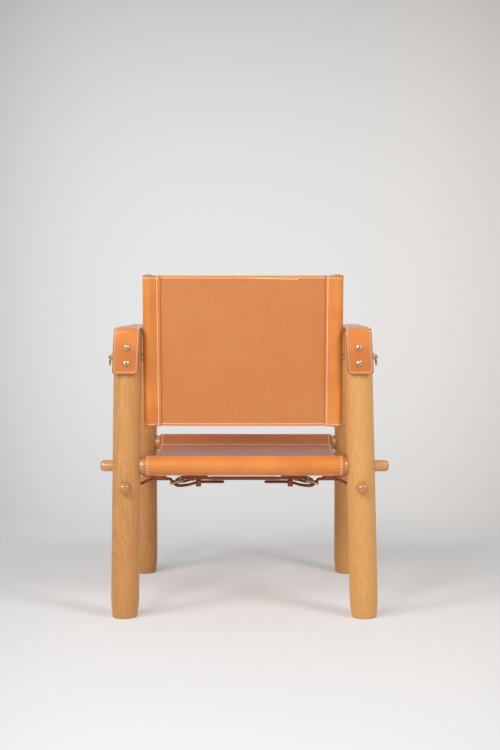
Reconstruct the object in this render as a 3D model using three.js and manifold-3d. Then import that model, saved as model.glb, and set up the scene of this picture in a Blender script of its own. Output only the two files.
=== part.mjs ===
// Sling lounge chair: turned oak posts and rails, leather seat, back and arm straps, brass fittings.
// Millimetres, +Z up. The origin is on the floor under the middle of the chair.
// The front of the chair faces -Y, and the sitter's left is +X.

import * as THREE from 'three';
import { mergeVertices } from 'three/addons/utils/BufferGeometryUtils.js';
import Module from 'manifold-3d';

const wasm = await Module();
wasm.setup();

// Fits: the gap between touching pieces, and how far a cutter runs past the material it cuts.
const FIT_GAP = 0.3;
const CUT_OVERRUN = 5;

// Facet counts of round forms
const POST_FACETS = 28;
const RAIL_FACETS = 24;
const FITTING_FACETS = 16;
const SCREW_FACETS = 12;
const RING_FACETS = 8;
const FOOT_STEPS = 5;
const CORNER_STEPS = 3;
const SLEEVE_STEPS = 20;
const SAG_STEPS = 10;
const BELT_STEPS = 30;

// Posts: their size, the places of their axes, and the inward lean of the two rear posts
const POST_DIAMETER = 62;
const POST_HEIGHT = 634;
const POST_TOP_ROUND = 4;
const POST_FOOT_DIAMETER = 55;
const POST_FOOT_TAPER = 46;
const POST_FOOT_CHAMFER = 1.5;
const POST_DEPTH_SPACING = 490;
const FRONT_POST_SPACING = 520;
const REAR_FOOT_SPACING = 532;
const REAR_LEAN_LEFT = THREE.MathUtils.degToRad(0.9);
const REAR_LEAN_RIGHT = THREE.MathUtils.degToRad(1.55);

// Rails: a round body with domed shoulders that seat in the posts, and tenons that pass through them
const RAIL_DIAMETER = 37;
const TENON_DIAMETER = 25;
const TENON_END_ROUND = 8;
const TENON_END_FLAT = 8;
const SHOULDER_DEPTH = 25.5;
const SHOULDER_DOME = 13;
const CROSS_RAIL_LENGTH = 637;
const CROSS_RAIL_LEVEL = 337;
const SIDE_RAIL_LENGTH = 610;
const SIDE_RAIL_LEVEL = 292;

// Seat sling: one panel with a sleeve round each cross rail and its flaps below
const SLING_LEATHER = 3;
const SEAT_SIDE_GAP = 10;
const SEAT_SEAM_INSET = 38;
const SEAT_FLAP_LENGTH = 50;
const SEAT_SAG = 12;

// Back: two stiles in the sleeves of a panel, tilted about its pivots
const PIVOT_DROP = 56;
const BACK_TILT = THREE.MathUtils.degToRad(5);
const BACK_HEIGHT = 333;
const BACK_RISE = 12;
const BACK_SAG = 3;
const STILE_DIAMETER = 20;
const STILE_OVERHANG = 3;
const STILE_END_ROUND = 4;
const BACK_SEAM_INSET = 20.3;
const BACK_FLAP_LENGTH = 25.3;

// Arm straps: they lie over the post tops and hang as tabs with rounded corners
const ARM_WIDTH = 55;
const ARM_THICKNESS = 7;
const ARM_BEND_ROUND = 9;
const ARM_TAB_LENGTH = 100;
const ARM_CORNER_ROUND = 8;

// Arm screws
const SCREW_HEAD_DIAMETER = 14.6;
const SCREW_HEAD_HEIGHT = 4.6;
const SCREW_HEAD_EDGE = 1;
const SCREW_SHANK_DIAMETER = 5;
const SCREW_POINT_LENGTH = 5;
const SCREW_LENGTH = 32;
const SCREW_FIRST_DROP = 42;
const SCREW_PITCH = 34.4;

// Pivot bolts, their inserts and washers
const BOLT_DIAMETER = 8;
const BOLT_COLLAR_DIAMETER = 16;
const BOLT_COLLAR_THICKNESS = 4;
const BOLT_LUG_LENGTH = 8;
const BOLT_LUG_WIDTH = 7;
const BOLT_LUG_HEIGHT = 10.5;
const INSERT_DIAMETER = 12;
const INSERT_LENGTH = 14;
const INSERT_SETBACK = 2;
const BOLT_ENGAGEMENT = 11;
const WASHER_DIAMETER = 18;
const WASHER_THICKNESS = 2;

// Drop rings in the bolts' lugs
const RING_WIRE = 3.6;
const RING_MEAN_RADIUS = 9;
const RING_PLAY = 1.2;
const RING_HANG_SHARE = 0.25;

// Belts below the seat
const BELT_PLACE = 115;
const BELT_WIDTH = 26;
const BELT_THICKNESS = 3.6;
const FOLD_THICKNESS = 2.6;
const LOOP_SEAM_INSET = 45;
const LOOP_SEAM_LENGTH = 35;
const STRAP_DROP = 0.2;

// Buckles: distances inboard from the side rail's axis, and drops below it
const BUCKLE_BAR_INSET = 118;
const BUCKLE_LENGTH = 28.5;
const BUCKLE_WIRE = 3.6;
const BUCKLE_EDGE_ROUND = 0.8;
const BUCKLE_CORNER_ROUND = 4;
const BUCKLE_SIDE_GAP = 1;
const BUCKLE_TILT = THREE.MathUtils.degToRad(12);
const FOLD_LENGTH = 27;
const FOLD_RISE_LENGTH = 8;
const PRONG_WIDTH = 3;
const PRONG_THICKNESS = 2.4;
const PRONG_EYE_WALL = 1.6;
const PRONG_EYE_OPENING = THREE.MathUtils.degToRad(18);
const PRONG_TIP_OVERHANG = 2;
const PRONG_SLOT_GAP = 1;
const KEEPER_INSET = 148;
const KEEPER_LENGTH = 11.5;
const KEEPER_THICKNESS = 2;
const KEEPER_SIDE_GAP = 0.8;
const KEEPER_DROP = 18;
const KEEPER_CORNER_ROUND = 1.5;
const SAFE_THICKNESS = 2.4;
const SAFE_END_INSET = 175;
const SAFE_TIP_INSET = 101;
const SAFE_TIP_DROP = 3.4;
const TAIL_TIP_INSET = 213.5;
const TAIL_DROP = 8.6;
const TAIL_BEVEL = 7;
const LOOP_DROP = 17;

// Course of the loose strap: shares of the way from the toe to the loop, and from the loop to the tail
const STRAP_FALL_SHARE = 0.4;
const TAIL_START_SHARE = 0.16;
const TAIL_START_RISE_SHARE = 0.3;
const KEEPER_RISE_SHARE = 0.8;
const SAFE_SLOPE_SHARE = 0.6;

// Finishes
const OAK = { color: 0xc99a5e, roughness: 0.55, metalness: 0 };
const SLING_TAN = { color: 0xdc8644, roughness: 0.5, metalness: 0 };
const ARM_TAN = { color: 0xe08a42, roughness: 0.45, metalness: 0 };
const BELT_BROWN = { color: 0x6a3420, roughness: 0.55, metalness: 0 };
const KEEPER_TAN = { color: 0xc06c3c, roughness: 0.5, metalness: 0 };
const BRASS = { color: 0xc8b070, roughness: 0.3, metalness: 1 };

// Values that follow from the sizes above
const POST_RADIUS = POST_DIAMETER / 2;
const RAIL_RADIUS = RAIL_DIAMETER / 2;
const TENON_RADIUS = TENON_DIAMETER / 2;
const POST_PLACE = POST_DEPTH_SPACING / 2;
const SEAT_WIDTH = FRONT_POST_SPACING - POST_DIAMETER - 2 * SEAT_SIDE_GAP;
const PIVOT_PLACE = POST_PLACE;
const PIVOT_LEVEL = POST_HEIGHT - PIVOT_DROP;
const STILE_RADIUS = STILE_DIAMETER / 2;
const SIDES = { left: 1, right: -1 };
const ENDS = { rear: 1, front: -1 };

const chair = new THREE.Group();

// A closed solid from a geometry, its shared corners merged and its empty triangles dropped
function toSolid(geometry) {
  const bare = geometry.clone();
  bare.deleteAttribute('normal');
  bare.deleteAttribute('uv');
  const merged = mergeVertices(bare);
  const index = merged.index.array;
  const corners = [];
  for (let i = 0; i < index.length; i += 3) {
    const [a, b, c] = [index[i], index[i + 1], index[i + 2]];
    if (a !== b && b !== c && c !== a) corners.push(a, b, c);
  }
  return new wasm.Manifold(new wasm.Mesh({
    numProp: 3,
    vertProperties: Float32Array.from(merged.attributes.position.array),
    triVerts: Uint32Array.from(corners),
  }));
}

function toGeometry(solid) {
  const mesh = solid.getMesh();
  const geometry = new THREE.BufferGeometry();
  geometry.setAttribute('position', new THREE.BufferAttribute(mesh.vertProperties, 3));
  geometry.setIndex(new THREE.BufferAttribute(mesh.triVerts, 1));
  geometry.computeVertexNormals();
  return geometry;
}

function cut(geometry, cutters) {
  let solid = toSolid(geometry);
  for (const cutter of cutters) solid = solid.subtract(toSolid(cutter));
  return toGeometry(solid);
}

function join(geometries) {
  let solid = toSolid(geometries[0]);
  for (const other of geometries.slice(1)) solid = solid.add(toSolid(other));
  return toGeometry(solid);
}

function addPiece(name, geometry, finish) {
  const mesh = new THREE.Mesh(geometry, new THREE.MeshStandardMaterial(finish));
  mesh.name = name;
  chair.add(mesh);
}

// Points of an arc about a centre, from one angle to another
function arc(centreX, centreY, radiusX, radiusY, from, to, steps) {
  const points = [];
  for (let i = 0; i <= steps; i += 1) {
    const angle = from + (to - from) * (i / steps);
    points.push(new THREE.Vector2(centreX + radiusX * Math.cos(angle), centreY + radiusY * Math.sin(angle)));
  }
  return points;
}

// A turned form. The outline's x is the radius and its y runs along the axis, which becomes +Z.
function turned(outline, facets) {
  return new THREE.LatheGeometry(outline, facets).rotateX(Math.PI / 2);
}

function alongX(geometry) {
  return geometry.rotateY(Math.PI / 2);
}

function alongY(geometry) {
  return geometry.rotateX(-Math.PI / 2);
}

function rod(diameter, from, to, facets) {
  const outline = [
    new THREE.Vector2(0, from),
    new THREE.Vector2(diameter / 2, from),
    new THREE.Vector2(diameter / 2, to),
    new THREE.Vector2(0, to),
  ];
  return turned(outline, facets);
}

// A section drawn in two axes and extruded along the third, centred on zero there
function extruded(points, holes, depth, basis) {
  const outline = THREE.ShapeUtils.isClockWise(points) ? points.slice().reverse() : points;
  const shape = new THREE.Shape(outline);
  for (const hole of holes) shape.holes.push(new THREE.Path(hole));
  const geometry = new THREE.ExtrudeGeometry(shape, { depth, bevelEnabled: false });
  geometry.translate(0, 0, -depth / 2);
  return geometry.applyMatrix4(basis);
}

const AXIS_X = new THREE.Vector3(1, 0, 0);
const AXIS_Y = new THREE.Vector3(0, 1, 0);
const AXIS_Z = new THREE.Vector3(0, 0, 1);
const SECTION_YZ = new THREE.Matrix4().makeBasis(AXIS_Y, AXIS_Z, AXIS_X);
const SECTION_XZ = new THREE.Matrix4().makeBasis(AXIS_X, AXIS_Z, AXIS_Y.clone().negate());
const SECTION_XY = new THREE.Matrix4();

// The side frames: where a side's posts, side rail and arm strap have their middle, at any depth and height.
// The front posts stand plumb, and the rear ones lean inwards from their feet.
function frameX(side, y, z) {
  const lean = side > 0 ? REAR_LEAN_LEFT : REAR_LEAN_RIGHT;
  const rear = REAR_FOOT_SPACING / 2 - Math.tan(lean) * z;
  const rearShare = (y + POST_PLACE) / POST_DEPTH_SPACING;
  return side * THREE.MathUtils.lerp(FRONT_POST_SPACING / 2, rear, rearShare);
}

// Moves a piece made about x = 0 onto its side frame
function ontoFrame(geometry, side) {
  const position = geometry.attributes.position;
  for (let i = 0; i < position.count; i += 1) {
    position.setX(i, position.getX(i) + frameX(side, position.getY(i), position.getZ(i)));
  }
  geometry.computeVertexNormals();
  return geometry;
}

// Posts: a shaft with a rounded top and a foot that draws in along a smooth curve
function postOutline() {
  const footRadius = POST_FOOT_DIAMETER / 2;
  const points = [new THREE.Vector2(0, 0), new THREE.Vector2(footRadius - POST_FOOT_CHAMFER, 0)];
  for (let i = 0; i <= FOOT_STEPS; i += 1) {
    const share = i / FOOT_STEPS;
    const radius = THREE.MathUtils.lerp(footRadius, POST_RADIUS, Math.sin(share * Math.PI / 2));
    points.push(new THREE.Vector2(radius, THREE.MathUtils.lerp(POST_FOOT_CHAMFER, POST_FOOT_TAPER, share)));
  }
  const topCentre = POST_HEIGHT - POST_TOP_ROUND;
  const edge = POST_RADIUS - POST_TOP_ROUND;
  points.push(...arc(edge, topCentre, POST_TOP_ROUND, POST_TOP_ROUND, 0, Math.PI / 2, CORNER_STEPS));
  points.push(new THREE.Vector2(0, POST_HEIGHT));
  return points;
}

// Rails: half an outline, from the middle of the body out to the tenon's rounded end.
// The shoulder domes from the body down to the tenon, at shoulderPlace from the middle.
function railHalf(shoulderPlace, halfLength, grow) {
  const body = RAIL_RADIUS + grow;
  const tenon = TENON_RADIUS + grow;
  const place = shoulderPlace + grow;
  const dome = arc(place - SHOULDER_DOME, tenon, SHOULDER_DOME, body - tenon, Math.PI / 2, 0, CORNER_STEPS);
  const flat = TENON_END_FLAT / 2;
  const endRound = TENON_END_ROUND;
  const end = arc(halfLength - endRound, flat, endRound, tenon - flat, Math.PI / 2, 0, CORNER_STEPS);
  const points = [...dome, ...end, new THREE.Vector2(halfLength, 0)];
  return points.map((point) => new THREE.Vector2(point.y, point.x));
}

// A whole rail along its axis, with its own shoulder place at each end
function railGeometry(lowShoulder, highShoulder, length, grow, facets) {
  const high = railHalf(highShoulder, length / 2, grow);
  const low = railHalf(lowShoulder, length / 2, grow).map((point) => new THREE.Vector2(point.x, -point.y));
  return turned([...low.reverse(), ...high], facets);
}

function crossRail(end, grow) {
  const y = end * POST_PLACE;
  const left = frameX(1, y, CROSS_RAIL_LEVEL) - SHOULDER_DEPTH;
  const right = -frameX(-1, y, CROSS_RAIL_LEVEL) - SHOULDER_DEPTH;
  const length = CROSS_RAIL_LENGTH + (grow > 0 ? 2 * CUT_OVERRUN : 0);
  const rail = alongX(railGeometry(right, left, length, grow, RAIL_FACETS));
  return rail.translate(0, y, CROSS_RAIL_LEVEL);
}

function sideRail(grow) {
  const shoulder = POST_PLACE - SHOULDER_DEPTH;
  const length = SIDE_RAIL_LENGTH + (grow > 0 ? 2 * CUT_OVERRUN : 0);
  const rail = alongY(railGeometry(shoulder, shoulder, length, grow, RAIL_FACETS));
  return rail.translate(0, 0, SIDE_RAIL_LEVEL);
}

// Arm screws: a domed head on the tab, its shank through the strap into the post
const SCREW_SEAT = POST_RADIUS + FIT_GAP + ARM_THICKNESS + FIT_GAP;
const SCREW_LEVELS = [0, 1].map((row) => (
  POST_HEIGHT + FIT_GAP + ARM_THICKNESS - SCREW_FIRST_DROP - row * SCREW_PITCH
));

function screwGeometry() {
  const shank = SCREW_SHANK_DIAMETER / 2;
  const head = SCREW_HEAD_DIAMETER / 2;
  const dome = SCREW_HEAD_HEIGHT - SCREW_HEAD_EDGE;
  const outline = [
    new THREE.Vector2(0, -SCREW_LENGTH),
    new THREE.Vector2(shank, SCREW_POINT_LENGTH - SCREW_LENGTH),
    new THREE.Vector2(shank, 0),
    new THREE.Vector2(head, 0),
    ...arc(0, SCREW_HEAD_EDGE, head, dome, 0, Math.PI / 2, CORNER_STEPS),
  ];
  return turned(outline, SCREW_FACETS);
}

// Turns what points along +Z to point out of the front or rear face, at the screw's level
function atTab(geometry, end, level) {
  geometry.rotateX(-end * Math.PI / 2);
  return geometry.translate(0, end * (POST_PLACE + SCREW_SEAT), level);
}

function screwHole(end, level) {
  const diameter = SCREW_SHANK_DIAMETER + 2 * FIT_GAP;
  return atTab(rod(diameter, -SCREW_LENGTH - FIT_GAP, CUT_OVERRUN, SCREW_FACETS), end, level);
}

// Where a side's post has its outer and inner face at the pivot, and the room its lean takes at a fitting
function pivotFaces(side) {
  const axis = Math.abs(frameX(side, PIVOT_PLACE, PIVOT_LEVEL));
  return { outer: axis + POST_RADIUS, inner: axis - POST_RADIUS };
}

function leanRoom(side, radius) {
  const lean = side > 0 ? REAR_LEAN_LEFT : REAR_LEAN_RIGHT;
  return FIT_GAP + radius * Math.tan(lean);
}

function addPosts() {
  for (const [endName, end] of Object.entries(ENDS)) {
    for (const [sideName, side] of Object.entries(SIDES)) {
      const shaft = turned(postOutline(), POST_FACETS).translate(0, end * POST_PLACE, 0);
      const upright = cut(shaft, [sideRail(FIT_GAP), ...SCREW_LEVELS.map((level) => screwHole(end, level))]);
      const cutters = [crossRail(end, FIT_GAP)];
      if (end === ENDS.rear) cutters.push(boltHole(side));
      addPiece(`post_${endName}_${sideName}`, cut(ontoFrame(upright, side), cutters), OAK);
    }
  }
}

function addRails() {
  for (const [endName, end] of Object.entries(ENDS)) addPiece(`rail_${endName}`, crossRail(end, 0), OAK);
  for (const [sideName, side] of Object.entries(SIDES)) {
    addPiece(`side_rail_${sideName}`, ontoFrame(sideRail(0), side), OAK);
  }
}

// A leather loop round a rod: the outer and inner tear-drop outlines, in u inboard and v across.
// Both plies meet at the seam, at v = 0, and each is as thick as the leather.
function loopOutlines(rodRadius, leather, seamInset, steps) {
  const inner = rodRadius + FIT_GAP;
  const outer = inner + leather;
  const outerAngle = Math.atan2(leather, seamInset) + Math.acos(outer / Math.hypot(seamInset, leather));
  const innerAngle = Math.acos(inner / seamInset);
  return {
    outer: arc(0, 0, outer, outer, outerAngle, 2 * Math.PI - outerAngle, steps),
    hole: [
      ...arc(0, 0, inner, inner, innerAngle, 2 * Math.PI - innerAngle, steps),
      new THREE.Vector2(seamInset, 0),
    ],
  };
}

// The section of a sling: a panel that sags between two sleeves, with a flap below each end
function slingSection({ halfSpan, rodRadius, seamInset, flapLength, sag }) {
  const loop = loopOutlines(rodRadius, SLING_LEATHER, seamInset, SLEEVE_STEPS);
  const seamPlace = halfSpan - seamInset;
  const flapPlace = halfSpan - flapLength;
  const dip = (s) => -sag * (1 - (s / seamPlace) ** 2);
  const line = (from, to, level, steps) => {
    const points = [];
    for (let i = 0; i <= steps; i += 1) {
      const s = THREE.MathUtils.lerp(from, to, i / steps);
      points.push(new THREE.Vector2(s, dip(s) + level));
    }
    return points;
  };
  const atHigh = (points) => points.map((point) => new THREE.Vector2(halfSpan - point.x, point.y));
  const atLow = (points) => points.map((point) => new THREE.Vector2(point.x - halfSpan, point.y));
  const outline = [
    ...line(-seamPlace, seamPlace, SLING_LEATHER, SAG_STEPS),
    ...atHigh(loop.outer),
    ...line(seamPlace, flapPlace, -SLING_LEATHER, 1),
    ...line(flapPlace, -flapPlace, 0, SAG_STEPS),
    ...line(-flapPlace, -seamPlace, -SLING_LEATHER, 1),
    ...atLow(loop.outer).reverse(),
  ];
  return { outline, holes: [atHigh(loop.hole), atLow(loop.hole)] };
}

function addSeat() {
  const section = slingSection({
    halfSpan: POST_PLACE,
    rodRadius: RAIL_RADIUS,
    seamInset: SEAT_SEAM_INSET,
    flapLength: SEAT_FLAP_LENGTH,
    sag: SEAT_SAG,
  });
  const sling = extruded(section.outline, section.holes, SEAT_WIDTH, SECTION_YZ);
  addPiece('seat_sling', sling.translate(0, 0, CROSS_RAIL_LEVEL), SLING_TAN);
}

// The back's width fills what the rear posts leave at the pivots, less a washer each side
const BACK_LEFT = pivotFaces(1).inner - WASHER_THICKNESS - FIT_GAP - leanRoom(1, WASHER_DIAMETER / 2);
const BACK_RIGHT = pivotFaces(-1).inner - WASHER_THICKNESS - FIT_GAP - leanRoom(-1, WASHER_DIAMETER / 2);
const BACK_WIDTH = BACK_LEFT + BACK_RIGHT;
const BACK_CENTRE = (BACK_LEFT - BACK_RIGHT) / 2;
const SLEEVE_RADIUS = STILE_RADIUS + FIT_GAP + SLING_LEATHER;
const STILE_PLACE = BACK_WIDTH / 2 - SLEEVE_RADIUS;
const INSERT_OUTER = Math.sqrt(STILE_RADIUS ** 2 - (INSERT_DIAMETER / 2) ** 2) - INSERT_SETBACK;

// Puts what is drawn upright about the pivot axis onto the tilted back
function ontoBack(geometry) {
  return geometry.rotateX(-BACK_TILT).translate(BACK_CENTRE, PIVOT_PLACE, PIVOT_LEVEL);
}

function insertBody(side, grow) {
  const outer = STILE_PLACE + INSERT_OUTER + (grow > 0 ? STILE_RADIUS : 0);
  const inner = STILE_PLACE + INSERT_OUTER - INSERT_LENGTH - grow;
  const body = alongX(rod(INSERT_DIAMETER + 2 * grow, inner, outer, FITTING_FACETS));
  return side > 0 ? body : body.rotateZ(Math.PI);
}

function boreAlongPivot(side, from, to) {
  const bore = alongX(rod(BOLT_DIAMETER + 2 * FIT_GAP, from, to, FITTING_FACETS));
  return side > 0 ? bore : bore.rotateZ(Math.PI);
}

function stileOutline() {
  const half = BACK_HEIGHT / 2 + STILE_OVERHANG;
  const round = STILE_END_ROUND;
  const top = arc(STILE_RADIUS - round, half - round, round, round, 0, Math.PI / 2, CORNER_STEPS);
  const upper = [...top, new THREE.Vector2(0, half)];
  const lower = upper.map((point) => new THREE.Vector2(point.x, -point.y)).reverse();
  return [...lower, ...upper];
}

function addBack() {
  for (const [sideName, side] of Object.entries(SIDES)) {
    const stile = turned(stileOutline(), FITTING_FACETS).translate(side * STILE_PLACE, 0, BACK_RISE);
    addPiece(`back_stile_${sideName}`, ontoBack(cut(stile, [insertBody(side, FIT_GAP)])), OAK);
    const insert = cut(insertBody(side, 0), [boreAlongPivot(side, 0, BACK_WIDTH / 2)]);
    addPiece(`pivot_insert_${sideName}`, ontoBack(insert), BRASS);
  }
  const section = slingSection({
    halfSpan: STILE_PLACE,
    rodRadius: STILE_RADIUS,
    seamInset: BACK_SEAM_INSET,
    flapLength: BACK_FLAP_LENGTH,
    sag: BACK_SAG,
  });
  const flapsToRear = (point) => new THREE.Vector2(point.x, -point.y);
  const holes = section.holes.map((hole) => hole.map(flapsToRear));
  const panel = extruded(section.outline.map(flapsToRear), holes, BACK_HEIGHT, SECTION_XY);
  const bores = Object.values(SIDES).map((side) => boreAlongPivot(side, STILE_PLACE, BACK_WIDTH));
  addPiece('back_sling', ontoBack(cut(panel.translate(0, 0, BACK_RISE), bores)), SLING_TAN);
}

// Pivot bolts: a shaft through the post into the stile's insert, a collar, and a lug for the drop ring
function boltPlaces(side) {
  const collarFrom = pivotFaces(side).outer + leanRoom(side, BOLT_COLLAR_DIAMETER / 2);
  const stileAxis = side * BACK_CENTRE + STILE_PLACE;
  return {
    tip: stileAxis + INSERT_OUTER - BOLT_ENGAGEMENT,
    collarFrom,
    collarTo: collarFrom + BOLT_COLLAR_THICKNESS,
    ringPlace: collarFrom + BOLT_COLLAR_THICKNESS + BOLT_LUG_LENGTH / 2,
  };
}

function facingOut(geometry, side) {
  return side > 0 ? geometry : geometry.rotateZ(Math.PI);
}

function atPivot(geometry, side) {
  return facingOut(geometry, side).translate(0, PIVOT_PLACE, PIVOT_LEVEL);
}

function boltHole(side) {
  const faces = pivotFaces(side);
  const diameter = BOLT_DIAMETER + 2 * FIT_GAP;
  const hole = rod(diameter, faces.inner - CUT_OVERRUN, faces.outer + CUT_OVERRUN, FITTING_FACETS);
  return atPivot(alongX(hole), side);
}

function boltGeometry(side) {
  const places = boltPlaces(side);
  const shaft = BOLT_DIAMETER / 2;
  const collar = BOLT_COLLAR_DIAMETER / 2;
  const body = alongX(turned([
    new THREE.Vector2(0, places.tip),
    new THREE.Vector2(shaft, places.tip),
    new THREE.Vector2(shaft, places.collarFrom),
    new THREE.Vector2(collar, places.collarFrom),
    new THREE.Vector2(collar, places.collarTo),
    new THREE.Vector2(0, places.collarTo),
  ], FITTING_FACETS));
  const half = BOLT_LUG_HEIGHT / 2;
  const root = places.collarTo - BOLT_COLLAR_THICKNESS / 2;
  const reach = BOLT_LUG_LENGTH / 2;
  const nose = arc(places.ringPlace, 0, reach, half, Math.PI / 2, -Math.PI / 2, 2 * CORNER_STEPS);
  const outline = [new THREE.Vector2(root, half), ...nose, new THREE.Vector2(root, -half)];
  const eyeRadius = (RING_WIRE + RING_PLAY) / 2 + FIT_GAP;
  const eye = arc(places.ringPlace, 0, eyeRadius, eyeRadius, 0, 2 * Math.PI, FITTING_FACETS).slice(1);
  const lug = extruded(outline, [eye], BOLT_LUG_WIDTH, SECTION_XZ);
  return atPivot(join([body, lug]), side);
}

function ringGeometry(side) {
  const ring = new THREE.TorusGeometry(RING_MEAN_RADIUS, RING_WIRE / 2, RING_FACETS, FITTING_FACETS);
  ring.rotateY(Math.PI / 2);
  ring.translate(boltPlaces(side).ringPlace, 0, RING_HANG_SHARE * RING_PLAY - RING_MEAN_RADIUS);
  return atPivot(ring, side);
}

function washerGeometry(side) {
  const outer = pivotFaces(side).inner - leanRoom(side, WASHER_DIAMETER / 2);
  const washer = alongX(rod(WASHER_DIAMETER, outer - WASHER_THICKNESS, outer, FITTING_FACETS));
  const bore = alongX(rod(BOLT_DIAMETER + 2 * FIT_GAP, 0, outer + CUT_OVERRUN, FITTING_FACETS));
  return atPivot(cut(washer, [bore]), side);
}

function addPivots() {
  for (const [sideName, side] of Object.entries(SIDES)) {
    addPiece(`pivot_bolt_${sideName}`, boltGeometry(side), BRASS);
    addPiece(`pivot_washer_${sideName}`, washerGeometry(side), BRASS);
    addPiece(`bolt_ring_${sideName}`, ringGeometry(side), BRASS);
  }
}

// Arm straps: an outline in depth and height with rounded bends, trimmed to the tabs' rounded corners
function armOutline() {
  const inner = POST_PLACE + POST_RADIUS + FIT_GAP;
  const outer = inner + ARM_THICKNESS;
  const under = POST_HEIGHT + FIT_GAP;
  const top = under + ARM_THICKNESS;
  const bottom = top - ARM_TAB_LENGTH;
  const bend = (reach, level, round) => (
    arc(reach - round, level - round, round, round, 0, Math.PI / 2, CORNER_STEPS)
  );
  const outerArc = bend(outer, top, ARM_BEND_ROUND);
  const innerArc = bend(inner, under, ARM_BEND_ROUND - ARM_THICKNESS);
  const rearHalf = [new THREE.Vector2(inner, bottom), new THREE.Vector2(outer, bottom), ...outerArc];
  const frontHalf = rearHalf.map((point) => new THREE.Vector2(-point.x, point.y)).reverse();
  const frontInner = innerArc.map((point) => new THREE.Vector2(-point.x, point.y));
  return [...rearHalf, ...frontHalf, ...frontInner, ...innerArc.reverse()];
}

function armPlan() {
  const half = ARM_WIDTH / 2;
  const top = POST_HEIGHT + ARM_THICKNESS + CUT_OVERRUN;
  const bottom = POST_HEIGHT + FIT_GAP + ARM_THICKNESS - ARM_TAB_LENGTH;
  const round = ARM_CORNER_ROUND;
  return [
    new THREE.Vector2(half, top),
    new THREE.Vector2(-half, top),
    ...arc(round - half, bottom + round, round, round, Math.PI, 1.5 * Math.PI, CORNER_STEPS),
    ...arc(half - round, bottom + round, round, round, 1.5 * Math.PI, 2 * Math.PI, CORNER_STEPS),
  ];
}

function addArms() {
  const outline = armOutline();
  const plan = extruded(armPlan(), [], 2 * (POST_PLACE + SCREW_SEAT + CUT_OVERRUN), SECTION_XZ);
  for (const [sideName, side] of Object.entries(SIDES)) {
    const band = extruded(outline, [], ARM_WIDTH + CUT_OVERRUN, SECTION_YZ);
    const trimmed = toGeometry(toSolid(band).intersect(toSolid(plan)));
    const holes = [];
    for (const end of Object.values(ENDS)) {
      for (const level of SCREW_LEVELS) holes.push(screwHole(end, level));
    }
    addPiece(`arm_strap_${sideName}`, ontoFrame(cut(trimmed, holes), side), ARM_TAN);
  }
}

function addScrews() {
  const rows = { upper: SCREW_LEVELS[0], lower: SCREW_LEVELS[1] };
  for (const [endName, end] of Object.entries(ENDS)) {
    for (const [sideName, side] of Object.entries(SIDES)) {
      for (const [rowName, level] of Object.entries(rows)) {
        const screw = ontoFrame(atTab(screwGeometry(), end, level), side);
        addPiece(`arm_screw_${endName}_${sideName}_${rowName}`, screw, BRASS);
      }
    }
  }
}

// Belts below the seat. Each half is drawn in u, inboard from the side rail's axis, and w, above it.
const BAR_ROOM = Math.hypot(BUCKLE_WIRE / 2, BUCKLE_WIRE / 2 - BUCKLE_EDGE_ROUND) + FIT_GAP;
const STRAP_UNDER = -STRAP_DROP - BELT_THICKNESS / 2;
const STRAP_OVER = STRAP_UNDER + BELT_THICKNESS;
const BAR_LEVEL = STRAP_UNDER - BAR_ROOM;
const TOE_INSET = BUCKLE_BAR_INSET - BUCKLE_LENGTH * Math.cos(BUCKLE_TILT);
const TOE_LEVEL = BAR_LEVEL - BUCKLE_LENGTH * Math.sin(BUCKLE_TILT);

// Maps a half's drawing to x and z, for one side of one belt
function beltMap(side, place) {
  return (point) => {
    const level = SIDE_RAIL_LEVEL + point.y;
    return new THREE.Vector2(frameX(side, place, level) - side * point.x, level);
  };
}

function beltPiece(points, holes, width, place, map) {
  const mappedHoles = holes.map((hole) => hole.map(map));
  return extruded(points.map(map), mappedHoles, width, SECTION_XZ).translate(0, place, 0);
}

// Both edges of a strap of one thickness that follows a smooth curve through its middle points
function ribbon(middle, thickness, steps) {
  const points = middle.map((point) => new THREE.Vector3(point.x, point.y, 0));
  const curve = new THREE.CatmullRomCurve3(points, false, 'centripetal');
  const upper = [];
  const lower = [];
  for (let i = 0; i <= steps; i += 1) {
    const point = curve.getPointAt(i / steps);
    const tangent = curve.getTangentAt(i / steps);
    const normal = new THREE.Vector2(-tangent.y, tangent.x).multiplyScalar(thickness / 2);
    upper.push(new THREE.Vector2(point.x, point.y).add(normal));
    lower.push(new THREE.Vector2(point.x, point.y).sub(normal));
  }
  return { upper, lower };
}

// The free run of an end strap: over the buckle's toe, down through the frame, and back up as a loose tail
function strapRun() {
  const level = -BELT_THICKNESS / 2;
  const seamEnd = LOOP_SEAM_INSET + LOOP_SEAM_LENGTH;
  const toeClear = BUCKLE_WIRE / 2 + BELT_THICKNESS / 2 + FIT_GAP;
  const span = TAIL_TIP_INSET - BUCKLE_BAR_INSET;
  const sagPlace = BUCKLE_BAR_INSET + PRONG_TIP_OVERHANG;
  const fallPlace = THREE.MathUtils.lerp(TOE_INSET + toeClear, sagPlace, STRAP_FALL_SHARE);
  const rise = (share) => THREE.MathUtils.lerp(-LOOP_DROP, -TAIL_DROP, share);
  return [
    new THREE.Vector2(seamEnd, level),
    new THREE.Vector2(TOE_INSET - BUCKLE_WIRE / 2, level - FIT_GAP),
    new THREE.Vector2(TOE_INSET + toeClear, TOE_LEVEL + BELT_THICKNESS / 2 + FIT_GAP),
    new THREE.Vector2(fallPlace, -LOOP_DROP + FIT_GAP),
    new THREE.Vector2(sagPlace, -LOOP_DROP),
    new THREE.Vector2(sagPlace + TAIL_START_SHARE * span, rise(TAIL_START_RISE_SHARE)),
    new THREE.Vector2(KEEPER_INSET, rise(KEEPER_RISE_SHARE)),
    new THREE.Vector2(KEEPER_INSET + KEEPER_LENGTH, -TAIL_DROP),
    new THREE.Vector2(TAIL_TIP_INSET, -TAIL_DROP),
  ];
}

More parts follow.
